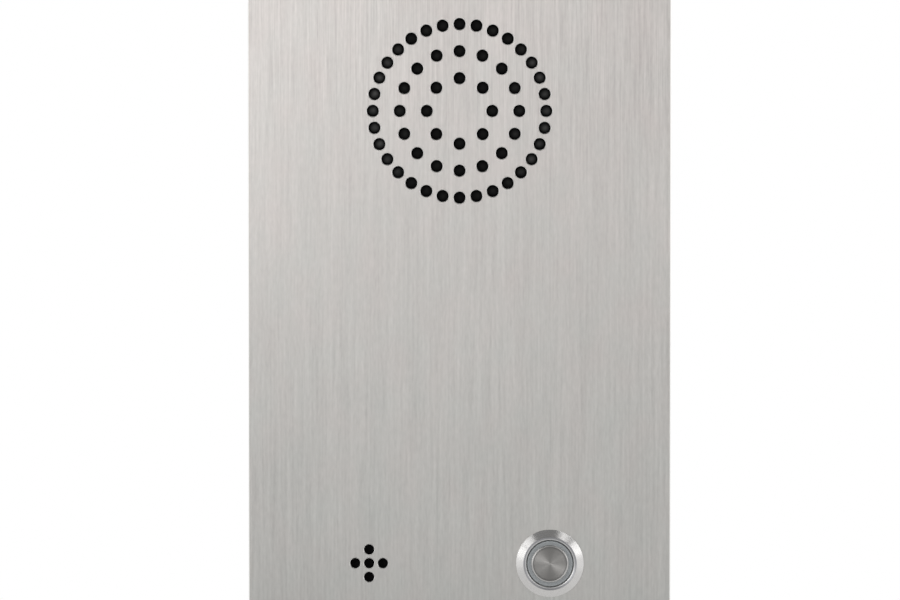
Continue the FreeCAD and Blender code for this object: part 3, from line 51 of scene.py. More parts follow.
middle = Vector((0.0, 0.0, 0.0))
speaker = Vector((0.0, 0.0, 0.060))
microphone = Vector((-0.030, 0.0, -0.090))
button = Vector((0.030, 0.0, -0.090))
fixings = [Vector((x, 0.0, z)) for x in (-0.062, 0.062) for z in (-0.122, 0.122)]
grille_rings = [(0.01083, 8), (0.01976, 16), (0.02869, 32)]
grille_hole = 0.002
foam_thick = 0.002
foam_round = 0.00035
leg_depth = 0.0241
panel_foot = -0.130


# Camera, as the photograph was taken: far off, a little above the middle, looking slightly down

camera_far = 1.6
camera_rise = math.radians(2.34)
aim = Vector((-0.00315, -0.003, -0.00258))
bpy.ops.object.camera_add(
    location=aim + Vector((0, -math.cos(camera_rise), math.sin(camera_rise))) * camera_far,
    rotation=(math.pi / 2 - camera_rise, 0, 0))
camera = bpy.context.object
camera.name = "camera"
camera.data.sensor_width = 36.0
camera.data.lens = 193.28
camera.data.clip_end = 60.0
bpy.context.scene.camera = camera
bpy.context.scene.view_settings.view_transform = "Standard"


# Finishes

class Finish:
    """A material being mixed: its main shader and the patterns that feed it."""

    def __init__(self, name, colour, rough, metal=0.0, **sockets):
        self.material = bpy.data.materials.new(name + "_finish")
        self.material.use_nodes = True
        self.tree = self.material.node_tree
        self.shader = self.tree.nodes["Principled BSDF"]
        self.place = self.tree.nodes.new("ShaderNodeTexCoord").outputs["Object"]
        self.colour = colour
        self.set("Base Color", (*colour, 1.0))
        self.set("Roughness", rough)
        self.set("Metallic", metal)
        for socket, value in sockets.items():
            self.set(socket.replace("_", " "), value)

    def set(self, socket, value):
        self.shader.inputs[socket].default_value = value

    def feed(self, socket, output):
        self.tree.links.new(output, self.shader.inputs[socket])

    def node(self, kind, **settings):
        node = self.tree.nodes.new("ShaderNode" + kind)
        for setting, value in settings.items():
            setattr(node, setting, value)
        return node

    def plug(self, source, target):
        if hasattr(source, "is_output"):
            self.tree.links.new(source, target)
        else:
            target.default_value = source

    def math(self, operation, first, second=0.0, third=0.0, clamp=False):
        node = self.node("Math", operation=operation, use_clamp=clamp)
        for source, target in zip((first, second, third), node.inputs):
            self.plug(source, target)
        return node.outputs[0]

    def vector(self, operation, first, second=(0, 0, 0)):
        node = self.node("VectorMath", operation=operation)
        self.plug(first, node.inputs[0])
        self.plug(second, node.inputs[1])
        return node

    def around(self, centre, scale=(1, 1, 1)):
        """Object coordinates counted from centre, then stretched."""
        moved = self.vector("SUBTRACT", self.place, tuple(centre)).outputs[0]
        return self.vector("MULTIPLY", moved, scale).outputs[0]

    def axes(self, place=None):
        """X, Y and Z of a place, which is the piece's own coordinates unless another is given."""
        apart = self.node("SeparateXYZ")
        self.plug(self.place if place is None else place, apart.inputs[0])
        return apart.outputs

    def radius(self, centre):
        """How far a place is from the line that runs through centre from front to back."""
        return self.vector("LENGTH", self.around(centre, (1, 0, 1))).outputs["Value"]

    def sized(self, size):
        """Coordinates for marks as large as size, which is one length, or one for each axis."""
        lengths = size if hasattr(size, "__len__") else (size, size, size)
        stretch = self.node("Mapping")
        self.plug(self.place, stretch.inputs["Vector"])
        stretch.inputs["Scale"].default_value = [1.0 / length for length in lengths]
        return stretch.outputs[0]

    def grain(self, size, detail=2.0, rough=0.5, warp=0.0):
        """Noise whose marks are as large as size, in metres."""
        noise = self.node("TexNoise")
        noise.inputs["Scale"].default_value = 1.0
        noise.inputs["Detail"].default_value = detail
        noise.inputs["Roughness"].default_value = rough
        noise.inputs["Distortion"].default_value = warp
        self.plug(self.sized(size), noise.inputs["Vector"])
        return noise.outputs["Fac"]

    def cells(self, size, output="Distance"):
        """Cells as large as size, read as the distance to a cell's middle or as its own colour."""
        cell = self.node("TexVoronoi")
        cell.inputs["Scale"].default_value = 1.0
        self.plug(self.sized(size), cell.inputs["Vector"])
        return cell.outputs[output]

    def folds(self, amount, length):
        """Rises from 0 to a half and falls back again over each length."""
        return self.math("PINGPONG", self.math("DIVIDE", amount, length), 0.5)

    def ramp(self, amount, *stops):
        """A run of greys: each stop is its place and its grey."""
        node = self.node("ValToRGB")
        while len(node.color_ramp.elements) < len(stops):
            node.color_ramp.elements.new(0.5)
        for element, (where, grey) in zip(node.color_ramp.elements, stops):
            element.position = where
            element.color = (grey, grey, grey, 1.0)
        self.tree.links.new(amount, node.inputs[0])
        return node.outputs[0]

    def blend(self, amount, first, second, mode="MIX"):
        """From the first colour to the second as amount goes from 0 to 1, or the two mixed by mode."""
        node = self.node("Mix", data_type="RGBA", blend_type=mode)
        sockets = (node.inputs[0], node.inputs[6], node.inputs[7])
        for source, target in zip((amount, first, second), sockets):
            if hasattr(source, "__len__") and not hasattr(source, "is_output"):
                source = (*source, 1.0)
            self.plug(source, target)
        return node.outputs[2]

    def spread(self, *layers):
        """Adds grains together about their middle: each layer is a grain and its weight."""
        total = 0.5
        for grain, weight in layers:
            total = self.math("MULTIPLY_ADD", self.math("SUBTRACT", grain, 0.5), weight, total)
        return total

    def shade(self, amount, darkest, lightest):
        """The colour, from darkest to lightest of its strength as amount goes from 0 to 1."""
        dark = [part * darkest for part in self.colour]
        light = [part * lightest for part in self.colour]
        result = self.blend(amount, dark, light)
        self.feed("Base Color", result)
        return result

    def between(self, amount, low, high):
        return self.math("MULTIPLY_ADD", amount, high - low, low)

    def relief(self, height, depth, under=None):
        """Bump of that depth in metres."""
        node = self.node("Bump")
        node.inputs["Strength"].default_value = 1.0
        node.inputs["Distance"].default_value = depth
        self.tree.links.new(height, node.inputs["Height"])
        if under is not None:
            self.tree.links.new(under, node.inputs["Normal"])
        self.feed("Normal", node.outputs[0])
        return node.outputs[0]


def brushed_panel():
    """Long upright brush marks, crisper in the upper half by a painted glint. Slanted edges get a painted
    highlight.
    """
    steel = Finish("brushed_panel", (0.418, 0.399, 0.383), 0.36, 1.0, Anisotropic=0.65)
    nicks = steel.grain((0.00072, 0.05, 0.0028), 1.0)
    strokes = steel.grain((0.00078, 0.05, 0.014), 1.0)
    streaks = steel.grain((0.0011, 0.05, 0.05), 1.0)
    bands = steel.grain((0.009, 0.05, 0.35), 1.0)
    cloud = steel.grain((0.04, 0.04, 0.09), 1.0)
    hairlines = steel.grain((0.00046, 0.05, 0.020), 1.0)
    height = steel.axes()["Z"]
    # Extra brush-mark contrast in the upper half is a painted glint, where the brushing catches more
    # light.
    upper_painted_glint = steel.ramp(steel.math("MULTIPLY", height, 10.0), (0.30, 0.0), (0.70, 1.0))
    brush = steel.spread((nicks, 0.37), (strokes, 0.34), (streaks, 0.43), (bands, 0.20), (cloud, 0.22),
                         (streaks, steel.math("MULTIPLY", upper_painted_glint, 0.10)),
                         (hairlines, steel.math("MULTIPLY", upper_painted_glint, 0.76)))
    metal_tone = steel.shade(brush, 0.77, 1.23)
    patches = steel.grain((0.011, 0.05, 0.016), 1.0)
    warmth = steel.math("MULTIPLY_ADD", height, 3.0, patches, clamp=True)
    warm = steel.blend(warmth, (0.970, 1.016, 1.018), (1.020, 1.000, 1.006))
    metal_tone = steel.blend(1.0, metal_tone, warm, "MULTIPLY")
    # Faces that slant between the front and the side, such as chamfers, get a paler colour: a painted
    # highlight.
    facing = steel.axes(steel.node("NewGeometry").outputs["True Normal"])["Y"]
    front = steel.math("MULTIPLY", facing, -1.0)
    painted_edge_highlight = steel.ramp(front, (0.50, 0.0), (0.60, 1.0), (0.85, 1.0), (0.95, 0.0))
    steel.feed("Base Color", steel.blend(painted_edge_highlight, metal_tone, (0.90, 0.89, 0.87)))
    steel.feed("Roughness", steel.between(steel.spread((streaks, 0.8), (strokes, 0.6)), 0.29, 0.43))
    across = steel.node("CombineXYZ")
    across.inputs[0].default_value = 1.0
    steel.feed("Tangent", across.outputs[0])
    steel.relief(steel.spread((nicks, 0.8), (strokes, 0.8)), 0.000010)
    return steel.material


def radial_tangent(metal, centre):
    """Lets a turned face's highlights run out from its centre, and gives the distance from there."""
    out = metal.around(centre, (1, 0, 1))
    metal.feed("Tangent", metal.vector("NORMALIZE", out).outputs[0])
    return metal.radius(centre)


def lathe_marks(metal, radius, step):
    """Fine rings, light and dark by chance, about a step apart."""
    rings = metal.node("TexNoise", noise_dimensions="1D")
    rings.inputs["Scale"].default_value = 1.0
    rings.inputs["Detail"].default_value = 3.0
    metal.plug(metal.math("MULTIPLY", radius, 1.0 / step), rings.inputs["W"])
    return rings.outputs["Fac"]


def thread_ridges(metal, centre, pitch, near, far, outer):
    """Height of a screw thread between two depths and inside a radius, flat elsewhere."""
    x, depth, z = metal.axes(metal.around(centre))
    turn = metal.math("DIVIDE", metal.math("ARCTAN2", z, x), 2 * math.pi)
    phase = metal.math("ADD", metal.math("DIVIDE", depth, pitch), turn)
    ridge = metal.math("PINGPONG", phase, 0.5)
    inside = metal.math("MULTIPLY", metal.math("GREATER_THAN", depth, near),
                        metal.math("LESS_THAN", depth, far))
    inside = metal.math("MULTIPLY", inside, metal.math("LESS_THAN", metal.radius(centre), outer))
    return metal.math("MULTIPLY", metal.math("MULTIPLY", ridge, 2.0), inside)


def button_steel():
    """Turned steel: a bright cone, and a duller lip inside it with painted shade. The ramp's places are
    centimetres.
    """
    steel = Finish("button_steel", (0.672, 0.662, 0.652), 0.24, 1.0, Anisotropic=0.85)
    radius = radial_tangent(steel, button)
    rings = lathe_marks(steel, radius, 0.00009)
    tone = steel.spread((rings, 0.6), (steel.grain(0.004), 0.2))
    cone = steel.shade(tone, 0.86, 1.12)
    size = steel.math("MULTIPLY", radius, 100.0)
    # The lip's darker colour is painted shade; its higher roughness is its duller finish.
    shaded_dull_lip = steel.ramp(size, (0.750, 0.0), (0.800, 0.0), (0.830, 1.0), (0.875, 1.0), (0.893, 0.0))
    steel.feed("Base Color", steel.blend(shaded_dull_lip, cone, (0.30, 0.30, 0.31)))
    steel.feed("Roughness", steel.math("MULTIPLY_ADD", shaded_dull_lip, 0.18, steel.between(rings, 0.19, 0.28)))
    turned = steel.relief(rings, 0.000004)
    thread = thread_ridges(steel, button, pitch=0.001, near=-0.0025, far=0.0148, outer=0.0097)
    steel.relief(thread, 0.0004, turned)
    return steel.material


def turned_cap():
    """Spun face with a painted-shade groove near its rim and a polished edge with a painted highlight.
    The ramps' places are centimetres.
    """
    cap = Finish("turned_cap", (0.325, 0.317, 0.307), 0.40, 1.0, Anisotropic=0.97)
    radius = radial_tangent(cap, button)
    rings = lathe_marks(cap, radius, 0.00012)
    # Darker towards the rim: painted shade.
    outward = cap.math("MULTIPLY", radius, 180.0)
    mottle = cap.grain(0.003)
    face = cap.shade(cap.spread((rings, 0.9), (mottle, 0.2), (outward, -0.7)), 0.84, 1.18)
    size = cap.math("MULTIPLY", radius, 100.0)
    # The edge's paler colour is a painted highlight; its lower roughness is the polish.
    edge = cap.ramp(size, (0.0, 0.0), (0.570, 0.0), (0.585, 1.0), (1.0, 1.0))
    # The groove's darker colour is painted shade in the recess.
    groove_shade = cap.ramp(size, (0.525, 0.0), (0.532, 1.0), (0.548, 1.0), (0.556, 0.0))
    face = cap.blend(groove_shade, face, (0.28, 0.276, 0.272))
    cap.feed("Base Color", cap.blend(edge, face, (0.60, 0.59, 0.58)))
    cap.feed("Roughness", cap.between(cap.spread((rings, 1.0), (edge, -1.6)), 0.34, 0.46))
    cap.relief(rings, 0.000006)
    return cap.material


def light_ring():
    """Clear grey-blue plastic with rings of painted light and shade, palest at its outer edge. The ramp's
    places are centimetres.
    """
    ring = Finish("light_ring", (0.256, 0.272, 0.280), 0.28, Coat_Weight=0.35, Subsurface_Weight=0.25,
                  Subsurface_Scale=0.001, Subsurface_Radius=(1.0, 1.0, 1.0), IOR=1.49)
    haze = ring.grain(0.0016, 3.0)
    size = ring.math("MULTIPLY", ring.radius(button), 100.0)
    # These rings by radius are painted light and shade that stand in for refraction in the clear plastic.
    depth = ring.ramp(size, (0.625, 0.60), (0.650, 0.42), (0.690, 0.55), (0.722, 0.70), (0.742, 1.0))
    ring.shade(ring.spread((haze, 0.5), (depth, 1.0)), 0.72, 1.28)
    ring.feed("Roughness", ring.between(ring.grain(0.0005), 0.22, 0.36))
    return ring.material


def zinc_sheet():
    """Galvanised sheet: flecks of crystal, rolling marks and stains."""
    zinc = Finish("zinc_sheet", (0.47, 0.48, 0.48), 0.42, 1.0, Anisotropic=0.25)
    tone = zinc.node("SeparateColor")
    zinc.plug(zinc.cells(0.0022, output="Color"), tone.inputs[0])
    rolled = zinc.grain((0.0012, 0.0012, 0.05), 3.0)
    stain = zinc.grain((0.02, 0.02, 0.03), 3.0, 0.6)
    mix = zinc.spread((tone.outputs[0], 0.16), (rolled, 0.5), (stain, 0.7))
    zinc.shade(mix, 0.78, 1.2)
    zinc.feed("Roughness", zinc.between(zinc.spread((stain, 1.0), (tone.outputs[1], 0.25)), 0.30, 0.56))
    zinc.relief(zinc.spread((rolled, 1.0), (zinc.grain(0.0004), 0.6)), 0.00001)
    return zinc.material


def plated_steel(name, pitch=None, near=0.0, far=0.0):
    """Zinc plating, and between two depths the ridges of a thread where a pitch is given."""
    plate = Finish(name, (0.55, 0.555, 0.54), 0.28, 1.0)
    haze = plate.grain(0.0012, 4.0, 0.6)
    plate.shade(haze, 0.80, 1.16)
    plate.feed("Roughness", plate.between(plate.grain(0.0005), 0.18, 0.42))
    if pitch is None:
        plate.relief(plate.grain(0.0003, 3.0), 0.000008)
    else:
        depth = plate.axes()["Y"]
        inside = plate.math("MULTIPLY", plate.math("GREATER_THAN", depth, near),
                            plate.math("LESS_THAN", depth, far))
        plate.relief(plate.math("MULTIPLY", plate.folds(depth, pitch), inside), pitch * 0.8)
    return plate.material


def foam():
    """Black closed-cell foam."""
    pad = Finish("foam", (0.022, 0.022, 0.023), 0.92, Sheen_Weight=0.15)
    pores = pad.cells(0.0005)
    small = pad.grain(0.00025, 3.0)
    pad.shade(pad.spread((pores, 0.6), (small, 0.9)), 0.55, 1.6)
    pad.relief(pad.spread((pores, -1.0), (small, 0.5)), 0.00012)
    return pad.material


def weave(cloth, repeat):
    """Plain weave seen from the front: threads over and under, the same again after each repeat."""
    place = cloth.axes()
    over = cloth.math("SINE", cloth.math("MULTIPLY", place["X"], 2 * math.pi / repeat))
    under = cloth.math("SINE", cloth.math("MULTIPLY", place["Z"], 2 * math.pi / repeat))
    return cloth.math("MULTIPLY_ADD", cloth.math("MULTIPLY", over, under), 0.5, 0.5)


def hole_middles(cloth, x, z):
    """1 at the middle of a grille hole and 0 near its wall, for x and z counted from the speaker."""
    angle = cloth.math("ARCTAN2", z, x)
    out = cloth.radius(speaker)
    nearest = grille_hole
    for radius, holes in grille_rings:
        along = cloth.math("MULTIPLY", cloth.math("PINGPONG", angle, math.pi / holes), radius)
        across = cloth.math("SUBTRACT", out, radius)
        square = cloth.math("MULTIPLY_ADD", along, along, cloth.math("MULTIPLY", across, across))
        nearest = cloth.math("MINIMUM", cloth.math("SQRT", square), nearest)
    return cloth.ramp(cloth.math("DIVIDE", nearest, grille_hole), (0.20, 1.0), (0.80, 0.0))


def acoustic_cloth():
    """Black cloth with a little painted light at the middle of each hole, more in the holes at the left
    and right of the grille.
    """
    cloth = Finish("acoustic_cloth", (0.008, 0.008, 0.0085), 0.86, Specular_IOR_Level=0.1)
    threads = weave(cloth, 0.0005)
    fuzz = cloth.grain(0.0009, 3.0)
    place = cloth.axes(cloth.around(speaker))
    aside = cloth.math("MULTIPLY", cloth.math("ABSOLUTE", place["X"]), 10.0)
    # Paler cloth at the middle of the holes, more at the left and right, is painted light; the darker
    # cloth near the hole walls is painted shade.
    lit_sides = cloth.ramp(aside, (0.0, 0.12), (0.17, 0.25), (0.24, 0.9), (0.28, 1.0))
    patches = cloth.ramp(cloth.grain(0.006, 2.0), (0.25, 0.15), (0.65, 1.0))
    painted_hole_light = cloth.math("MULTIPLY", lit_sides, patches)
    painted_hole_light = cloth.math("MULTIPLY", painted_hole_light, hole_middles(cloth, place["X"], place["Z"]))
    dark = cloth.shade(cloth.spread((threads, 0.5), (fuzz, 0.9)), 0.15, 0.95)
    cloth.feed("Base Color", cloth.blend(painted_hole_light, dark, (0.15, 0.15, 0.148)))
    cloth.relief(threads, 0.00008)
    return cloth.material


def treated_cloth():
    """The stiff amber cloth of a speaker's spider."""
    cloth = Finish("treated_cloth", (0.42, 0.20, 0.055), 0.7, Sheen_Weight=0.1)
    threads = weave(cloth, 0.0008)
    cloth.shade(cloth.spread((threads, 0.7), (cloth.grain(0.003), 0.6)), 0.6, 1.3)
    cloth.relief(threads, 0.0001)
    return cloth.material


def soft_rubber():
    """Black rubber with a faint bloom."""
    rubber = Finish("soft_rubber", (0.018, 0.018, 0.019), 0.62, Specular_IOR_Level=0.4)
    bloom = rubber.grain(0.004, 4.0, 0.6)
    rubber.shade(bloom, 0.6, 1.7)
    rubber.feed("Roughness", rubber.between(bloom, 0.5, 0.78))
    rubber.relief(rubber.grain(0.0002, 2.0), 0.00002)
    return rubber.material


def speaker_paper():
    """Dark pressed pulp, as cones are made of."""
    paper = Finish("speaker_paper", (0.030, 0.028, 0.027), 0.88)
    fibres = paper.grain(0.0004, 6.0, 0.75, warp=1.2)
    paper.shade(fibres, 0.4, 1.9)
    paper.relief(fibres, 0.00009)
    return paper.material


def copper_wire():
    """Turns of wire side by side, each darker where it meets the next: painted shade."""
    wire = Finish("copper", (0.60, 0.22, 0.085), 0.32, 1.0)
    turns = wire.folds(wire.axes()["Y"], 0.0002)
    # Darker between the turns: painted shade.
    wire.shade(turns, 0.6, 1.5)
    wire.relief(turns, 0.00012)
    return wire.material


def ferrite():
    stone = Finish("ferrite", (0.028, 0.028, 0.031), 0.62)
    specks = stone.grain(0.0004, 5.0, 0.7)
    stone.shade(specks, 0.5, 1.7)
    stone.feed("Roughness", stone.between(specks, 0.45, 0.75))
    stone.relief(specks, 0.00005)
    return stone.material


def tag_metal():
    tag = Finish("tag_metal", (0.60, 0.56, 0.48), 0.3, 1.0)
    haze = tag.grain((0.0008, 0.0008, 0.0016), 3.0)
    tag.shade(haze, 0.8, 1.2)
    tag.feed("Roughness", tag.between(haze, 0.2, 0.45))
    return tag.material


def mic_shell():
    shell = Finish("mic_shell", (0.52, 0.52, 0.51), 0.3, 1.0, Anisotropic=0.4)
    haze = shell.grain(0.0014, 3.0)
    shell.shade(haze, 0.8, 1.15)
    shell.feed("Roughness", shell.between(haze, 0.22, 0.4))
    return shell.material


def moulded(name, colour, rough):
    """Moulded plastic: fine spark grain and flow marks."""
    plastic = Finish(name, colour, rough)
    grain = plastic.grain(0.0004, 3.0)
    flow = plastic.grain((0.006, 0.006, 0.01), 2.0)
    plastic.shade(plastic.spread((grain, 0.7), (flow, 0.7)), 0.76, 1.24)
    plastic.feed("Roughness", plastic.between(grain, rough - 0.09, rough + 0.12))
    plastic.relief(grain, 0.00002)
    return plastic.material


def chip(name, centre, half):
    """Dark moulded body. Its tinned legs lie on the board above and below it."""
    body = Finish(name, (0.020, 0.020, 0.021), 0.44)
    grain = body.grain(0.0004, 3.0)
    dark = body.shade(grain, 0.76, 1.24)
    place = body.axes()
    out = body.math("ABSOLUTE", body.math("SUBTRACT", place["Z"], centre))
    leg = body.math("MULTIPLY", body.math("GREATER_THAN", out, half + 0.00002),
                    body.math("LESS_THAN", place["Y"], leg_depth))
    body.feed("Base Color", body.blend(leg, dark, (0.62, 0.61, 0.58)))
    body.feed("Metallic", leg)
    body.feed("Roughness", body.between(grain, 0.34, 0.54))
    body.relief(grain, 0.00002)
    return body.material


def spring_steel():
    steel = Finish("spring_steel", (0.42, 0.41, 0.39), 0.3, 1.0)
    drawn = steel.grain(0.0006, 3.0)
    steel.shade(drawn, 0.75, 1.2)
    steel.feed("Roughness", steel.between(drawn, 0.2, 0.42))
    return steel.material


def circuit_board():
    """Green lacquer over copper tracks that run upright or level by patches, with plated rings round
    holes of painted shade.
    """
    board = Finish("circuit_board", (0.010, 0.085, 0.035), 0.34, Coat_Weight=0.4, Coat_Roughness=0.2)
    patch = board.vector("SNAP", board.place, (0.0085, 1.0, 0.0062))
    pick = board.node("TexWhiteNoise", noise_dimensions="3D")
    board.plug(patch.outputs[0], pick.inputs["Vector"])
    chance = pick.outputs["Value"]
    place = board.axes()
    upright = board.math("GREATER_THAN", board.folds(place["X"], 0.0009), 0.3)
    level = board.math("GREATER_THAN", board.folds(place["Z"], 0.0011), 0.3)
    upright_tracks = board.math("MULTIPLY", upright, board.math("GREATER_THAN", chance, 0.62))
    level_tracks = board.math("MULTIPLY", level, board.math("LESS_THAN", chance, 0.36))
    tracks = board.math("ADD", upright_tracks, level_tracks)
    plane = board.blend(tracks, (0.009, 0.080, 0.033), (0.018, 0.135, 0.053))
    via = board.cells((0.0050, 0.01, 0.0050))
    hole = board.ramp(via, (0.07, 0.0), (0.08, 1.0))
    ring = board.ramp(via, (0.11, 1.0), (0.12, 0.0))
    plane = board.blend(ring, plane, (0.55, 0.50, 0.40))
    # The near-black dot in each plated ring is painted shade for the inside of the hole.
    plane = board.blend(hole, (0.012, 0.012, 0.012), plane)
    facing = board.axes(board.tree.nodes["Texture Coordinate"].outputs["Normal"])["Y"]
    face = board.math("GREATER_THAN", board.math("ABSOLUTE", facing), 0.5)
    fibre = board.grain((0.0003, 0.00012, 0.0003), 2.0)
    edge = board.blend(fibre, (0.10, 0.11, 0.045), (0.24, 0.25, 0.12))
    board.feed("Base Color", board.blend(face, edge, plane))
    board.relief(tracks, 0.00003)
    return board.material


def jack_shield():
    shield = Finish("jack_shield", (0.60, 0.60, 0.57), 0.3, 1.0)
    haze = shield.grain(0.002, 4.0, 0.6)
    shield.shade(haze, 0.8, 1.15)
    shield.feed("Roughness", shield.between(haze, 0.18, 0.42))
    shield.relief(shield.grain(0.0004, 2.0), 0.000012)
    return shield.material


def coil_tape():
    """Yellow tape wound round a transformer in even wraps, darker towards each wrap's edge: painted
    shade.
    """
    tape = Finish("coil_tape", (0.62, 0.42, 0.045), 0.35, Coat_Weight=0.3)
    wraps = tape.folds(tape.axes()["Y"], 0.0021)
    # Darker towards the step between wraps: painted shade.
    tape.shade(tape.spread((wraps, 0.8), (tape.grain(0.002, 3.0), 0.6)), 0.7, 1.25)
    tape.relief(wraps, 0.00006)
    return tape.material


def capacitor_can():
    can = Finish("capacitor_can", (0.50, 0.50, 0.49), 0.3, 1.0, Anisotropic=0.3)
    haze = can.grain((0.0008, 0.0012, 0.0008), 3.0)
    can.shade(haze, 0.8, 1.15)
    can.feed("Roughness", can.between(haze, 0.22, 0.4))
    return can.material


def lead_sheath():
    """Black sleeve of a lead, slightly scuffed."""
    sheath = Finish("lead_sheath", (0.024, 0.024, 0.025), 0.45, Coat_Weight=0.15)
    scuff = sheath.grain(0.0015, 4.0, 0.6)
    sheath.shade(scuff, 0.6, 1.7)
    sheath.feed("Roughness", sheath.between(scuff, 0.36, 0.6))
    sheath.relief(sheath.grain(0.0003), 0.00003)
    return sheath.material


def wear(material, *names):
    """Puts a finish on solids that keep their shape."""
    for name in names:
        for place in nodes[name].material_slots:
            place.material = material


# Finishes that more than one new piece takes

foam_rubber = foam()
cloth = acoustic_cloth()
rubber = soft_rubber()
sheath = lead_sheath()


# What each solid wears

wear(brushed_panel(), "front_panel")
wear(zinc_sheet(), "rear_housing", "mic_bracket", "speaker_frame", "speaker_top_plate",
     "speaker_yoke")
wear(plated_steel("plated_fasteners"), "housing_standoffs", "stud_nuts", "board_standoffs",
     "terminal_screws")
wear(plated_steel("threaded_stud", pitch=0.0006, near=0.0008, far=0.03),
     "housing_studs", "panel_studs", "mic_studs")
wear(plated_steel("housing_screw_steel", pitch=0.0007, near=0.02, far=0.0398),
     "housing_screws", "earth_screw")
wear(plated_steel("board_screw_steel", pitch=0.0005, near=0.01, far=0.0234), "board_screws")
wear(speaker_paper(), "speaker_cone", "speaker_dust_cap")
wear(copper_wire(), "speaker_voice_coil")
wear(ferrite(), "speaker_magnet")
wear(tag_metal(), "speaker_terminals", "button_terminals", "button_contact_bridge",
     "network_jack_contacts")
wear(mic_shell(), "mic_capsule")
wear(button_steel(), "button_body", "button_locknut")
wear(turned_cap(), "button_cap")
wear(light_ring(), "button_light_ring")
wear(moulded("dark_plastic", (0.020, 0.020, 0.021), 0.46), "button_plunger", "button_base",
     "button_connector", "processor", "power_inductors", "reset_switch")
wear(chip("memory_chip_body", centre=-0.001, half=0.003), "memory_chips")
wear(chip("amplifier_body", centre=-0.002, half=0.0025), "audio_amplifier")
wear(chip("network_transformer_body", centre=-0.030, half=0.0037), "network_transformer")
wear(circuit_board(), "main_board", "button_led_board")
wear(jack_shield(), "network_jack")
wear(moulded("green_plastic", (0.022, 0.24, 0.085), 0.42), "terminal_header", "terminal_plug")
wear(coil_tape(), "power_transformer")
wear(capacitor_can(), "capacitors")
wear(moulded("pale_plastic", (0.70, 0.68, 0.62), 0.42), "reset_key", "lead_headers", "lead_plugs")


# Tools for the soft and wound pieces

def pick_nothing():
    """Leaves edit mode and picks no object, before the next piece is touched."""
    if bpy.context.mode != "OBJECT":
        bpy.ops.object.mode_set(mode="OBJECT")
    bpy.ops.object.select_all(action="DESELECT")


def pick(piece):
    pick_nothing()
    piece.select_set(True)
    bpy.context.view_layer.objects.active = piece


def open_mesh(piece, kind="FACE"):
    """Starts shaping a piece, with the whole of it picked."""
    pick(piece)
    bpy.ops.object.mode_set(mode="EDIT")
    bpy.ops.mesh.select_mode(type=kind)
    bpy.ops.mesh.select_all(action="SELECT")


def settle(piece, kind, **settings):
    """Adds one modifier and applies it."""
    pick(piece)
    step = piece.modifiers.new(kind.lower(), kind)
    for setting, value in settings.items():
        setattr(step, setting, value)
    bpy.ops.object.modifier_apply(modifier=step.name)


def fit(piece, name, finish, slot, body, *stands_for, crease=35):
    """Names the piece, freezes its place into its mesh and lets it ride on its body."""
    pick(piece)
    bpy.ops.object.transform_apply(location=True, rotation=True, scale=True)
    piece.name = name
    piece.data.name = name
    piece.data.materials.clear()
    piece.data.materials.append(finish)
    bpy.ops.object.shade_smooth_by_angle(angle=math.radians(crease))
    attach(piece, body)
    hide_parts(*stands_for)
    return piece


def flat_blank(wide, tall, centre, corner=0.0):
    """An upright sheet of foam before it is cut, with its corners rounded where one is given."""
    pick_nothing()
    bpy.ops.mesh.primitive_plane_add(size=1.0, location=centre, rotation=(math.pi / 2, 0, 0))
    blank = bpy.context.object
    blank.scale = (wide, tall, 1.0)
    bpy.ops.object.transform_apply(location=False, rotation=True, scale=True)
    if corner:
        open_mesh(blank, "VERT")
        bpy.ops.mesh.bevel(offset=corner, segments=8, affect="VERTICES")
        bpy.ops.object.mode_set(mode="OBJECT")
    return blank


def thicken(piece, depth):
    """Gives a flat piece its thickness, towards the back."""
    open_mesh(piece)
    bpy.ops.mesh.extrude_region_move(TRANSFORM_OT_translate={"value": (0, depth, 0)})
    bpy.ops.mesh.select_all(action="SELECT")
    bpy.ops.mesh.normals_make_consistent(inside=False)
    bpy.ops.object.mode_set(mode="OBJECT")


def punch(piece, holes, sides=48):
    """Punches round holes, each a place and a radius, through the thickness."""
    for place, radius in holes:
        pick_nothing()
        bpy.ops.mesh.primitive_cylinder_add(vertices=sides, radius=radius, depth=0.02, location=place,
                                            rotation=(math.pi / 2, 0, 0))
        punch_tool = bpy.context.object
        settle(piece, "BOOLEAN", operation="DIFFERENCE", object=punch_tool, solver="EXACT")
        bpy.data.objects.remove(punch_tool)


def squeeze(piece, name, stands_for):
    """Rounds the cut edges of a foam piece, as the screws' pressure does, and fits it."""
    settle(piece, "BEVEL", width=foam_round, segments=3, limit_method="ANGLE",
           angle_limit=math.radians(40))
    fit(piece, name, foam_rubber, "foam", "base", stands_for)


def foam_frame(name, outer, inner, stands_for, holes=()):
    """A sheet of foam cut as a frame: outer and inner are each a width and a height."""
    strip = flat_blank(outer[0], outer[1], middle)
    open_mesh(strip)
    bpy.ops.mesh.inset(thickness=(outer[0] - inner[0]) / 2)
    now_tall = outer[1] - (outer[0] - inner[0])
    bpy.ops.transform.resize(value=(1, 1, inner[1] / now_tall), center_override=tuple(middle))
    bpy.ops.mesh.delete(type="FACE")
    bpy.ops.object.mode_set(mode="OBJECT")
    thicken(strip, foam_thick)
    punch(strip, holes)
    squeeze(strip, name, stands_for)


fixing_hole = 0.0025
foam_frame("wall_gasket_foam", (0.138, 0.258), (0.1164, 0.2324), "wall_gasket",
           [(place, fixing_hole) for place in fixings])
foam_frame("housing_gasket_foam", (0.1148, 0.2308), (0.1028, 0.2188), "housing_gasket")

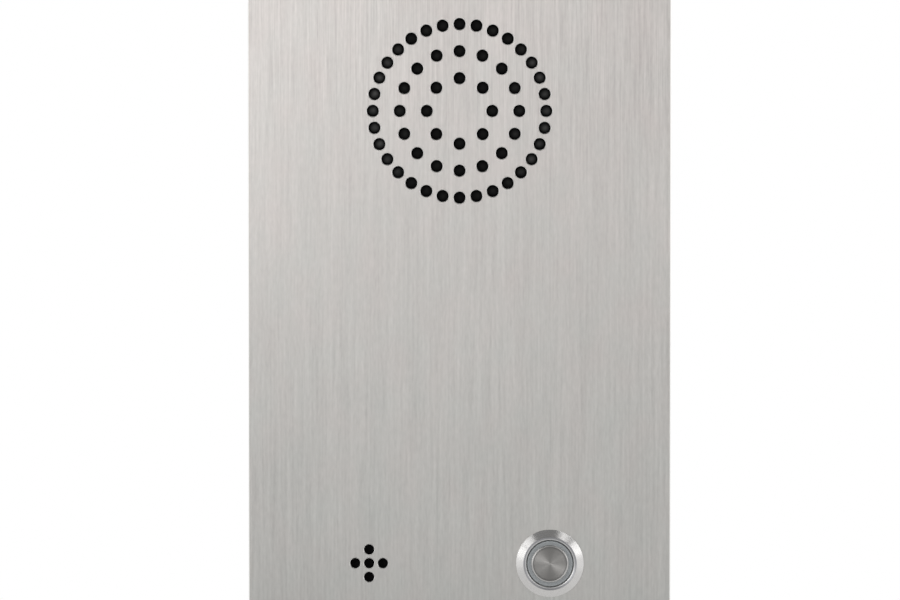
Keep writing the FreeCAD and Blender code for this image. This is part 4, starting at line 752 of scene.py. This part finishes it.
pad_side = 0.077
pad_corner = 0.006
pad_opening = 0.033
stud_spread = 0.03175
stud_hole = 0.0027
speaker_pad = flat_blank(pad_side, pad_side, speaker, pad_corner)
thicken(speaker_pad, foam_thick)
speaker_studs = [speaker + Vector((x, 0, z))
                 for x in (-stud_spread, stud_spread) for z in (-stud_spread, stud_spread)]
punch(speaker_pad, [(speaker, pad_opening)], sides=128)
punch(speaker_pad, [(place, stud_hole) for place in speaker_studs])
squeeze(speaker_pad, "speaker_gasket_foam", "speaker_gasket")


glue_line = 0.00004
cloth_thick = 0.00016


def cloth_disc(name, centre, radius):
    """A disc of acoustic cloth glued tight by its rim, with the glue line pressed in."""
    pick_nothing()
    bpy.ops.mesh.primitive_circle_add(vertices=96, radius=radius, fill_type="NGON",
                                      location=centre + Vector((0, glue_line, 0)),
                                      rotation=(math.pi / 2, 0, 0))
    disc = bpy.context.object
    bpy.ops.object.transform_apply(location=True, rotation=True, scale=True)
    open_mesh(disc)
    for ring in range(8):
        bpy.ops.mesh.inset(thickness=radius * 0.12)
        if ring == 0:
            bpy.ops.transform.translate(value=(0, glue_line, 0))
    bpy.ops.mesh.poke()
    bpy.ops.object.mode_set(mode="OBJECT")
    settle(disc, "SOLIDIFY", thickness=cloth_thick, offset=-1.0)
    fit(disc, name, cloth, "acoustic_cloth", "base", "acoustic_membranes", crease=60)


cloth_disc("speaker_cloth", speaker, 0.0325)
cloth_disc("microphone_cloth", microphone, 0.0078)


def turned_piece(centre, profile, sides=128):
    """Runs a ring of edges along a closed profile of radius and depth, as on a lathe."""
    pick_nothing()
    radius, depth = profile[0]
    bpy.ops.mesh.primitive_circle_add(vertices=sides, radius=radius,
                                      location=centre + Vector((0, depth, 0)),
                                      rotation=(math.pi / 2, 0, 0))
    piece = bpy.context.object
    bpy.ops.object.transform_apply(location=True, rotation=True, scale=True)
    open_mesh(piece, "EDGE")
    for next_radius, next_depth in profile[1:]:
        bpy.ops.mesh.extrude_region_move(TRANSFORM_OT_translate={"value": (0, next_depth - depth, 0)})
        grow = next_radius / radius
        bpy.ops.transform.resize(value=(grow, 1, grow), center_override=tuple(centre))
        radius, depth = next_radius, next_depth
    bpy.ops.mesh.select_all(action="SELECT")
    bpy.ops.mesh.remove_doubles(threshold=0.000001)
    bpy.ops.mesh.select_all(action="SELECT")
    bpy.ops.mesh.normals_make_consistent(inside=False)
    bpy.ops.object.mode_set(mode="OBJECT")
    return piece


def arc(middle_radius, middle_depth, reach, start, end, steps):
    """Points round an arc in the section, angles in degrees from outwards towards the back."""
    turns = [math.radians(start + (end - start) * step / steps) for step in range(steps + 1)]
    return [(middle_radius + reach * math.cos(turn), middle_depth + reach * math.sin(turn))
            for turn in turns]


surround_outer, surround_inner = 0.0330, 0.0244
roll_outer, roll_inner = 0.0298, 0.0256
roll_middle = (roll_outer + roll_inner) / 2
roll_reach = (roll_outer - roll_inner) / 2
surround_thick = 0.0004
surround_back = 0.0045
surround_front = surround_back - surround_thick
surround_line = ([(surround_outer, surround_front)]
                 + arc(roll_middle, surround_front, roll_reach, 0, -180, 14)
                 + [(surround_inner, surround_front), (surround_inner, surround_back)]
                 + arc(roll_middle, surround_back, roll_reach - surround_thick, -180, 0, 14)
                 + [(surround_outer, surround_back), (surround_outer, surround_front)])
fit(turned_piece(speaker, surround_line), "speaker_surround_roll", rubber, "soft_rubber", "base",
    "speaker_surround")

spider_inner, spider_outer = 0.0073, 0.02195
spider_thick = 0.0003
spider_front = 0.013 - spider_thick
spider_waves, wave_steps = 4, 14
wave_swing = 0.00045
wave_fade = 0.20


def spider_side(lift):
    """One side of the spider from its neck to its rim, with waves that fade at both ends."""
    side = []
    for step in range(spider_waves * wave_steps + 1):
        share = step / (spider_waves * wave_steps)
        ease = min(1.0, min(share, 1.0 - share) / wave_fade)
        swing = wave_swing * ease * (1 - math.cos(share * 2 * math.pi * spider_waves))
        side.append((spider_inner + (spider_outer - spider_inner) * share, spider_front + lift - swing))
    return side


spider_line = spider_side(0) + spider_side(spider_thick)[::-1]
spider_line.append(spider_line[0])
fit(turned_piece(speaker, spider_line), "speaker_spider_cloth", treated_cloth(), "treated_cloth", "base",
    "speaker_spider", crease=60)

boot_line = [(0.00785, 0.0), (0.0088, 0.0), (0.0090, 0.0002), (0.0090, 0.0088), (0.0088, 0.0093),
             (0.0083, 0.0096), (0.0036, 0.0096), (0.0030, 0.0093), (0.0030, 0.0087), (0.0049, 0.0087),
             (0.0049, 0.0021), (0.0050, 0.0020), (0.0067, 0.0020), (0.0068, 0.0019), (0.0068, 0.0004),
             (0.0069, 0.0003), (0.00785, 0.0003), (0.00785, 0.0)]
fit(turned_piece(microphone, boot_line, 96), "mic_boot_rubber", rubber, "soft_rubber", "base", "mic_boot")

seal_middle, seal_depth = 0.0100, -0.0032
seal_round = 0.0002
seal_start = (seal_middle, seal_depth + seal_round)
seal_line = ([seal_start] + arc(seal_middle + seal_round, seal_depth, seal_round, 90, -90, 6)
             + arc(seal_middle - seal_round, seal_depth, seal_round, -90, -270, 6) + [seal_start])
fit(turned_piece(button, seal_line, 96), "button_seal_rubber", rubber, "soft_rubber", "base",
    "button_seal")


# Return spring of the button, with closed ends

def wind_spring(radius, wire, low, high, open_turns):
    """Wire wound from one depth to the other, with a closed turn at each end."""
    pick_nothing()
    curve = bpy.data.curves.new("button_spring_wire", "CURVE")
    curve.dimensions = "3D"
    curve.bevel_depth = wire / 2
    curve.bevel_resolution = 3
    curve.use_fill_caps = True
    steps = 24
    closed_climb = wire * 1.02
    open_climb = (high - low - closed_climb * 2) / open_turns
    spline = curve.splines.new("POLY")
    spline.points.add(int((open_turns + 2) * steps))
    for index, point in enumerate(spline.points):
        turn = index / steps
        depth = low + closed_climb * min(turn, 1.0)
        depth += open_climb * min(max(turn - 1.0, 0.0), open_turns)
        depth += closed_climb * max(turn - 1.0 - open_turns, 0.0)
        angle = 2 * math.pi * turn
        x = button.x + radius * math.cos(angle)
        z = button.z + radius * math.sin(angle)
        point.co = (x, depth, z, 1.0)
    wire_piece = bpy.data.objects.new("button_spring_wire", curve)
    bpy.context.collection.objects.link(wire_piece)
    wire_piece.select_set(True)
    bpy.context.view_layer.objects.active = wire_piece
    bpy.ops.object.convert(target="MESH")
    return bpy.context.object


coil = wind_spring(radius=0.0046, wire=0.0006, low=-0.0002, high=0.0087, open_turns=3.2)
spring = fit(coil, "button_spring_wire", spring_steel(), "spring_steel", "base", "button_spring",
             crease=60)
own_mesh(spring)


# Leads from the speaker, the microphone and the button to the board

def run_lead(name, points, wide, stands_for):
    """One lead as a smooth line along the points it is laid by, with its round sheath."""
    curve = bpy.data.curves.new(name, "CURVE")
    curve.dimensions = "3D"
    curve.resolution_u = 12
    curve.bevel_depth = wide / 2
    curve.bevel_resolution = 5
    curve.use_fill_caps = True
    spline = curve.splines.new("NURBS")
    spline.points.add(len(points) - 1)
    for point, (x, y, z) in zip(spline.points, points):
        point.co = (x, y, z, 1.0)
    spline.order_u = 3
    spline.use_endpoint_u = True
    lead = bpy.data.objects.new(name, curve)
    bpy.context.collection.objects.link(lead)
    curve.materials.append(sheath)
    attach(lead, "base")
    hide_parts(stands_for)


run_lead("speaker_lead_run", [
    (0.0, 0.0266, 0.0115), (0.0, 0.0266, 0.0215), (-0.007, 0.0256, 0.0295), (-0.018, 0.020, 0.0361),
    (-0.029, 0.014, 0.0396), (-0.0338, 0.0105, 0.0461), (-0.0338, 0.0105, 0.0546)], 0.003, "speaker_lead")
run_lead("mic_lead_run", [
    (-0.030, 0.0087, -0.090), (-0.030, 0.0155, -0.090), (-0.029, 0.022, -0.0875),
    (-0.025, 0.0262, -0.082), (-0.022, 0.0266, -0.0765), (-0.022, 0.0266, -0.0715)],
    0.0026, "mic_lead")
run_lead("button_lead_run", [
    (0.022, 0.027, -0.090), (0.013, 0.027, -0.090), (0.004, 0.027, -0.087), (0.0, 0.0266, -0.079),
    (0.0, 0.0266, -0.0715)], 0.0034, "button_lead")


# Floor, room and lamps

def pale_floor():
    """Pale near the panel, where it keeps the shadow, and white farther off, as the room is."""
    paper = bpy.data.materials.new("pale_floor")
    paper.use_nodes = True
    tree = paper.node_tree
    make = tree.nodes.new
    link = tree.links.new
    shader = tree.nodes["Principled BSDF"]
    shader.inputs["Base Color"].default_value = (0.80, 0.80, 0.79, 1.0)
    shader.inputs["Roughness"].default_value = 0.9
    shader.inputs["Specular IOR Level"].default_value = 0.1
    place = make("ShaderNodeTexCoord")
    away = make("ShaderNodeVectorMath")
    away.operation = "LENGTH"
    link(place.outputs["Object"], away.inputs[0])
    fade = make("ShaderNodeMapRange")
    fade.interpolation_type = "SMOOTHSTEP"
    fade.inputs["From Min"].default_value = 0.08
    fade.inputs["From Max"].default_value = 0.26
    fade.inputs["To Min"].default_value = 0.62
    link(away.outputs["Value"], fade.inputs["Value"])
    seen = seen_rays(tree)
    amount = make("ShaderNodeMath")
    amount.operation = "MULTIPLY"
    link(fade.outputs["Result"], amount.inputs[0])
    link(seen, amount.inputs[1])
    white = make("ShaderNodeEmission")
    mix = make("ShaderNodeMixShader")
    link(amount.outputs[0], mix.inputs[0])
    link(shader.outputs[0], mix.inputs[1])
    link(white.outputs[0], mix.inputs[2])
    link(mix.outputs[0], tree.nodes["Material Output"].inputs["Surface"])
    return paper


def seen_rays(tree):
    """1 for what the camera, a reflection or clear plastic sees, 0 for what only lights the part."""
    path = tree.nodes.new("ShaderNodeLightPath")
    total = path.outputs["Is Camera Ray"]
    for name in ("Is Glossy Ray", "Is Transmission Ray"):
        more = tree.nodes.new("ShaderNodeMath")
        more.operation = "MAXIMUM"
        tree.links.new(total, more.inputs[0])
        tree.links.new(path.outputs[name], more.inputs[1])
        total = more.outputs[0]
    return total


pick_nothing()
bpy.ops.mesh.primitive_plane_add(size=8.0, location=(0, 0, panel_foot))
floor = bpy.context.object
floor.name = "floor"
floor.data.materials.append(pale_floor())

room = bpy.data.worlds.new("studio")
room.use_nodes = True
bpy.context.scene.world = room
room.cycles.sampling_method = "NONE"
tree = room.node_tree
lit = tree.nodes["Background"]
lit.inputs["Color"].default_value = (1.0, 1.0, 1.0, 1.0)
lit.inputs["Strength"].default_value = 0.5
shown = tree.nodes.new("ShaderNodeBackground")
shown.inputs["Strength"].default_value = 1.0
way = tree.nodes.new("ShaderNodeTexCoord")
height = tree.nodes.new("ShaderNodeSeparateXYZ")
tree.links.new(way.outputs["Generated"], height.inputs[0])
ceiling = tree.nodes.new("ShaderNodeMapRange")
ceiling.interpolation_type = "SMOOTHSTEP"
ceiling.inputs["From Min"].default_value = 0.22
ceiling.inputs["From Max"].default_value = 0.55
ceiling.inputs["To Min"].default_value = 1.0
ceiling.inputs["To Max"].default_value = 0.24
tree.links.new(height.outputs[2], ceiling.inputs["Value"])
tree.links.new(ceiling.outputs["Result"], shown.inputs["Color"])
either = tree.nodes.new("ShaderNodeMixShader")
tree.links.new(seen_rays(tree), either.inputs[0])
tree.links.new(lit.outputs[0], either.inputs[1])
tree.links.new(shown.outputs[0], either.inputs[2])
tree.links.new(either.outputs[0], tree.nodes["World Output"].inputs["Surface"])


def softbox(name, side, rise, far, wide, tall, level):
    """A soft lamp at an angle to the side and above, turned to the panel, as bright as level."""
    side, rise = math.radians(side), math.radians(rise)
    way = Vector((math.sin(side) * math.cos(rise), -math.cos(side) * math.cos(rise), math.sin(rise)))
    bpy.ops.object.light_add(type="AREA", location=way * far)
    lamp = bpy.context.object
    lamp.name = name
    lamp.data.shape = "RECTANGLE"
    lamp.data.size = wide
    lamp.data.size_y = tall
    lamp.data.energy = level * math.pi * wide * tall
    lamp.rotation_euler = way.to_track_quat("Z", "Y").to_euler()


softbox("softbox_left", -38, 7, 1.1, 0.40, 0.42, 3.65)
softbox("softbox_left_near", -17, 7, 1.1, 0.40, 0.34, 1.8)
softbox("softbox_left_high", -57, 36, 1.1, 0.40, 0.44, 1.3)
softbox("softbox_right", 43, 16, 1.1, 0.40, 0.42, 1.75)
softbox("softbox_right_high", 37, 38.5, 1.1, 0.40, 0.42, 1.3)
softbox("softbox_right_low", 59, 15, 1.1, 0.40, 0.42, 0.5)
softbox("softbox_right_side", 78, 15, 1.1, 0.40, 0.60, 0.34)
softbox("softbox_back", 150, 35, 1.6, 1.2, 1.0, 1.6)
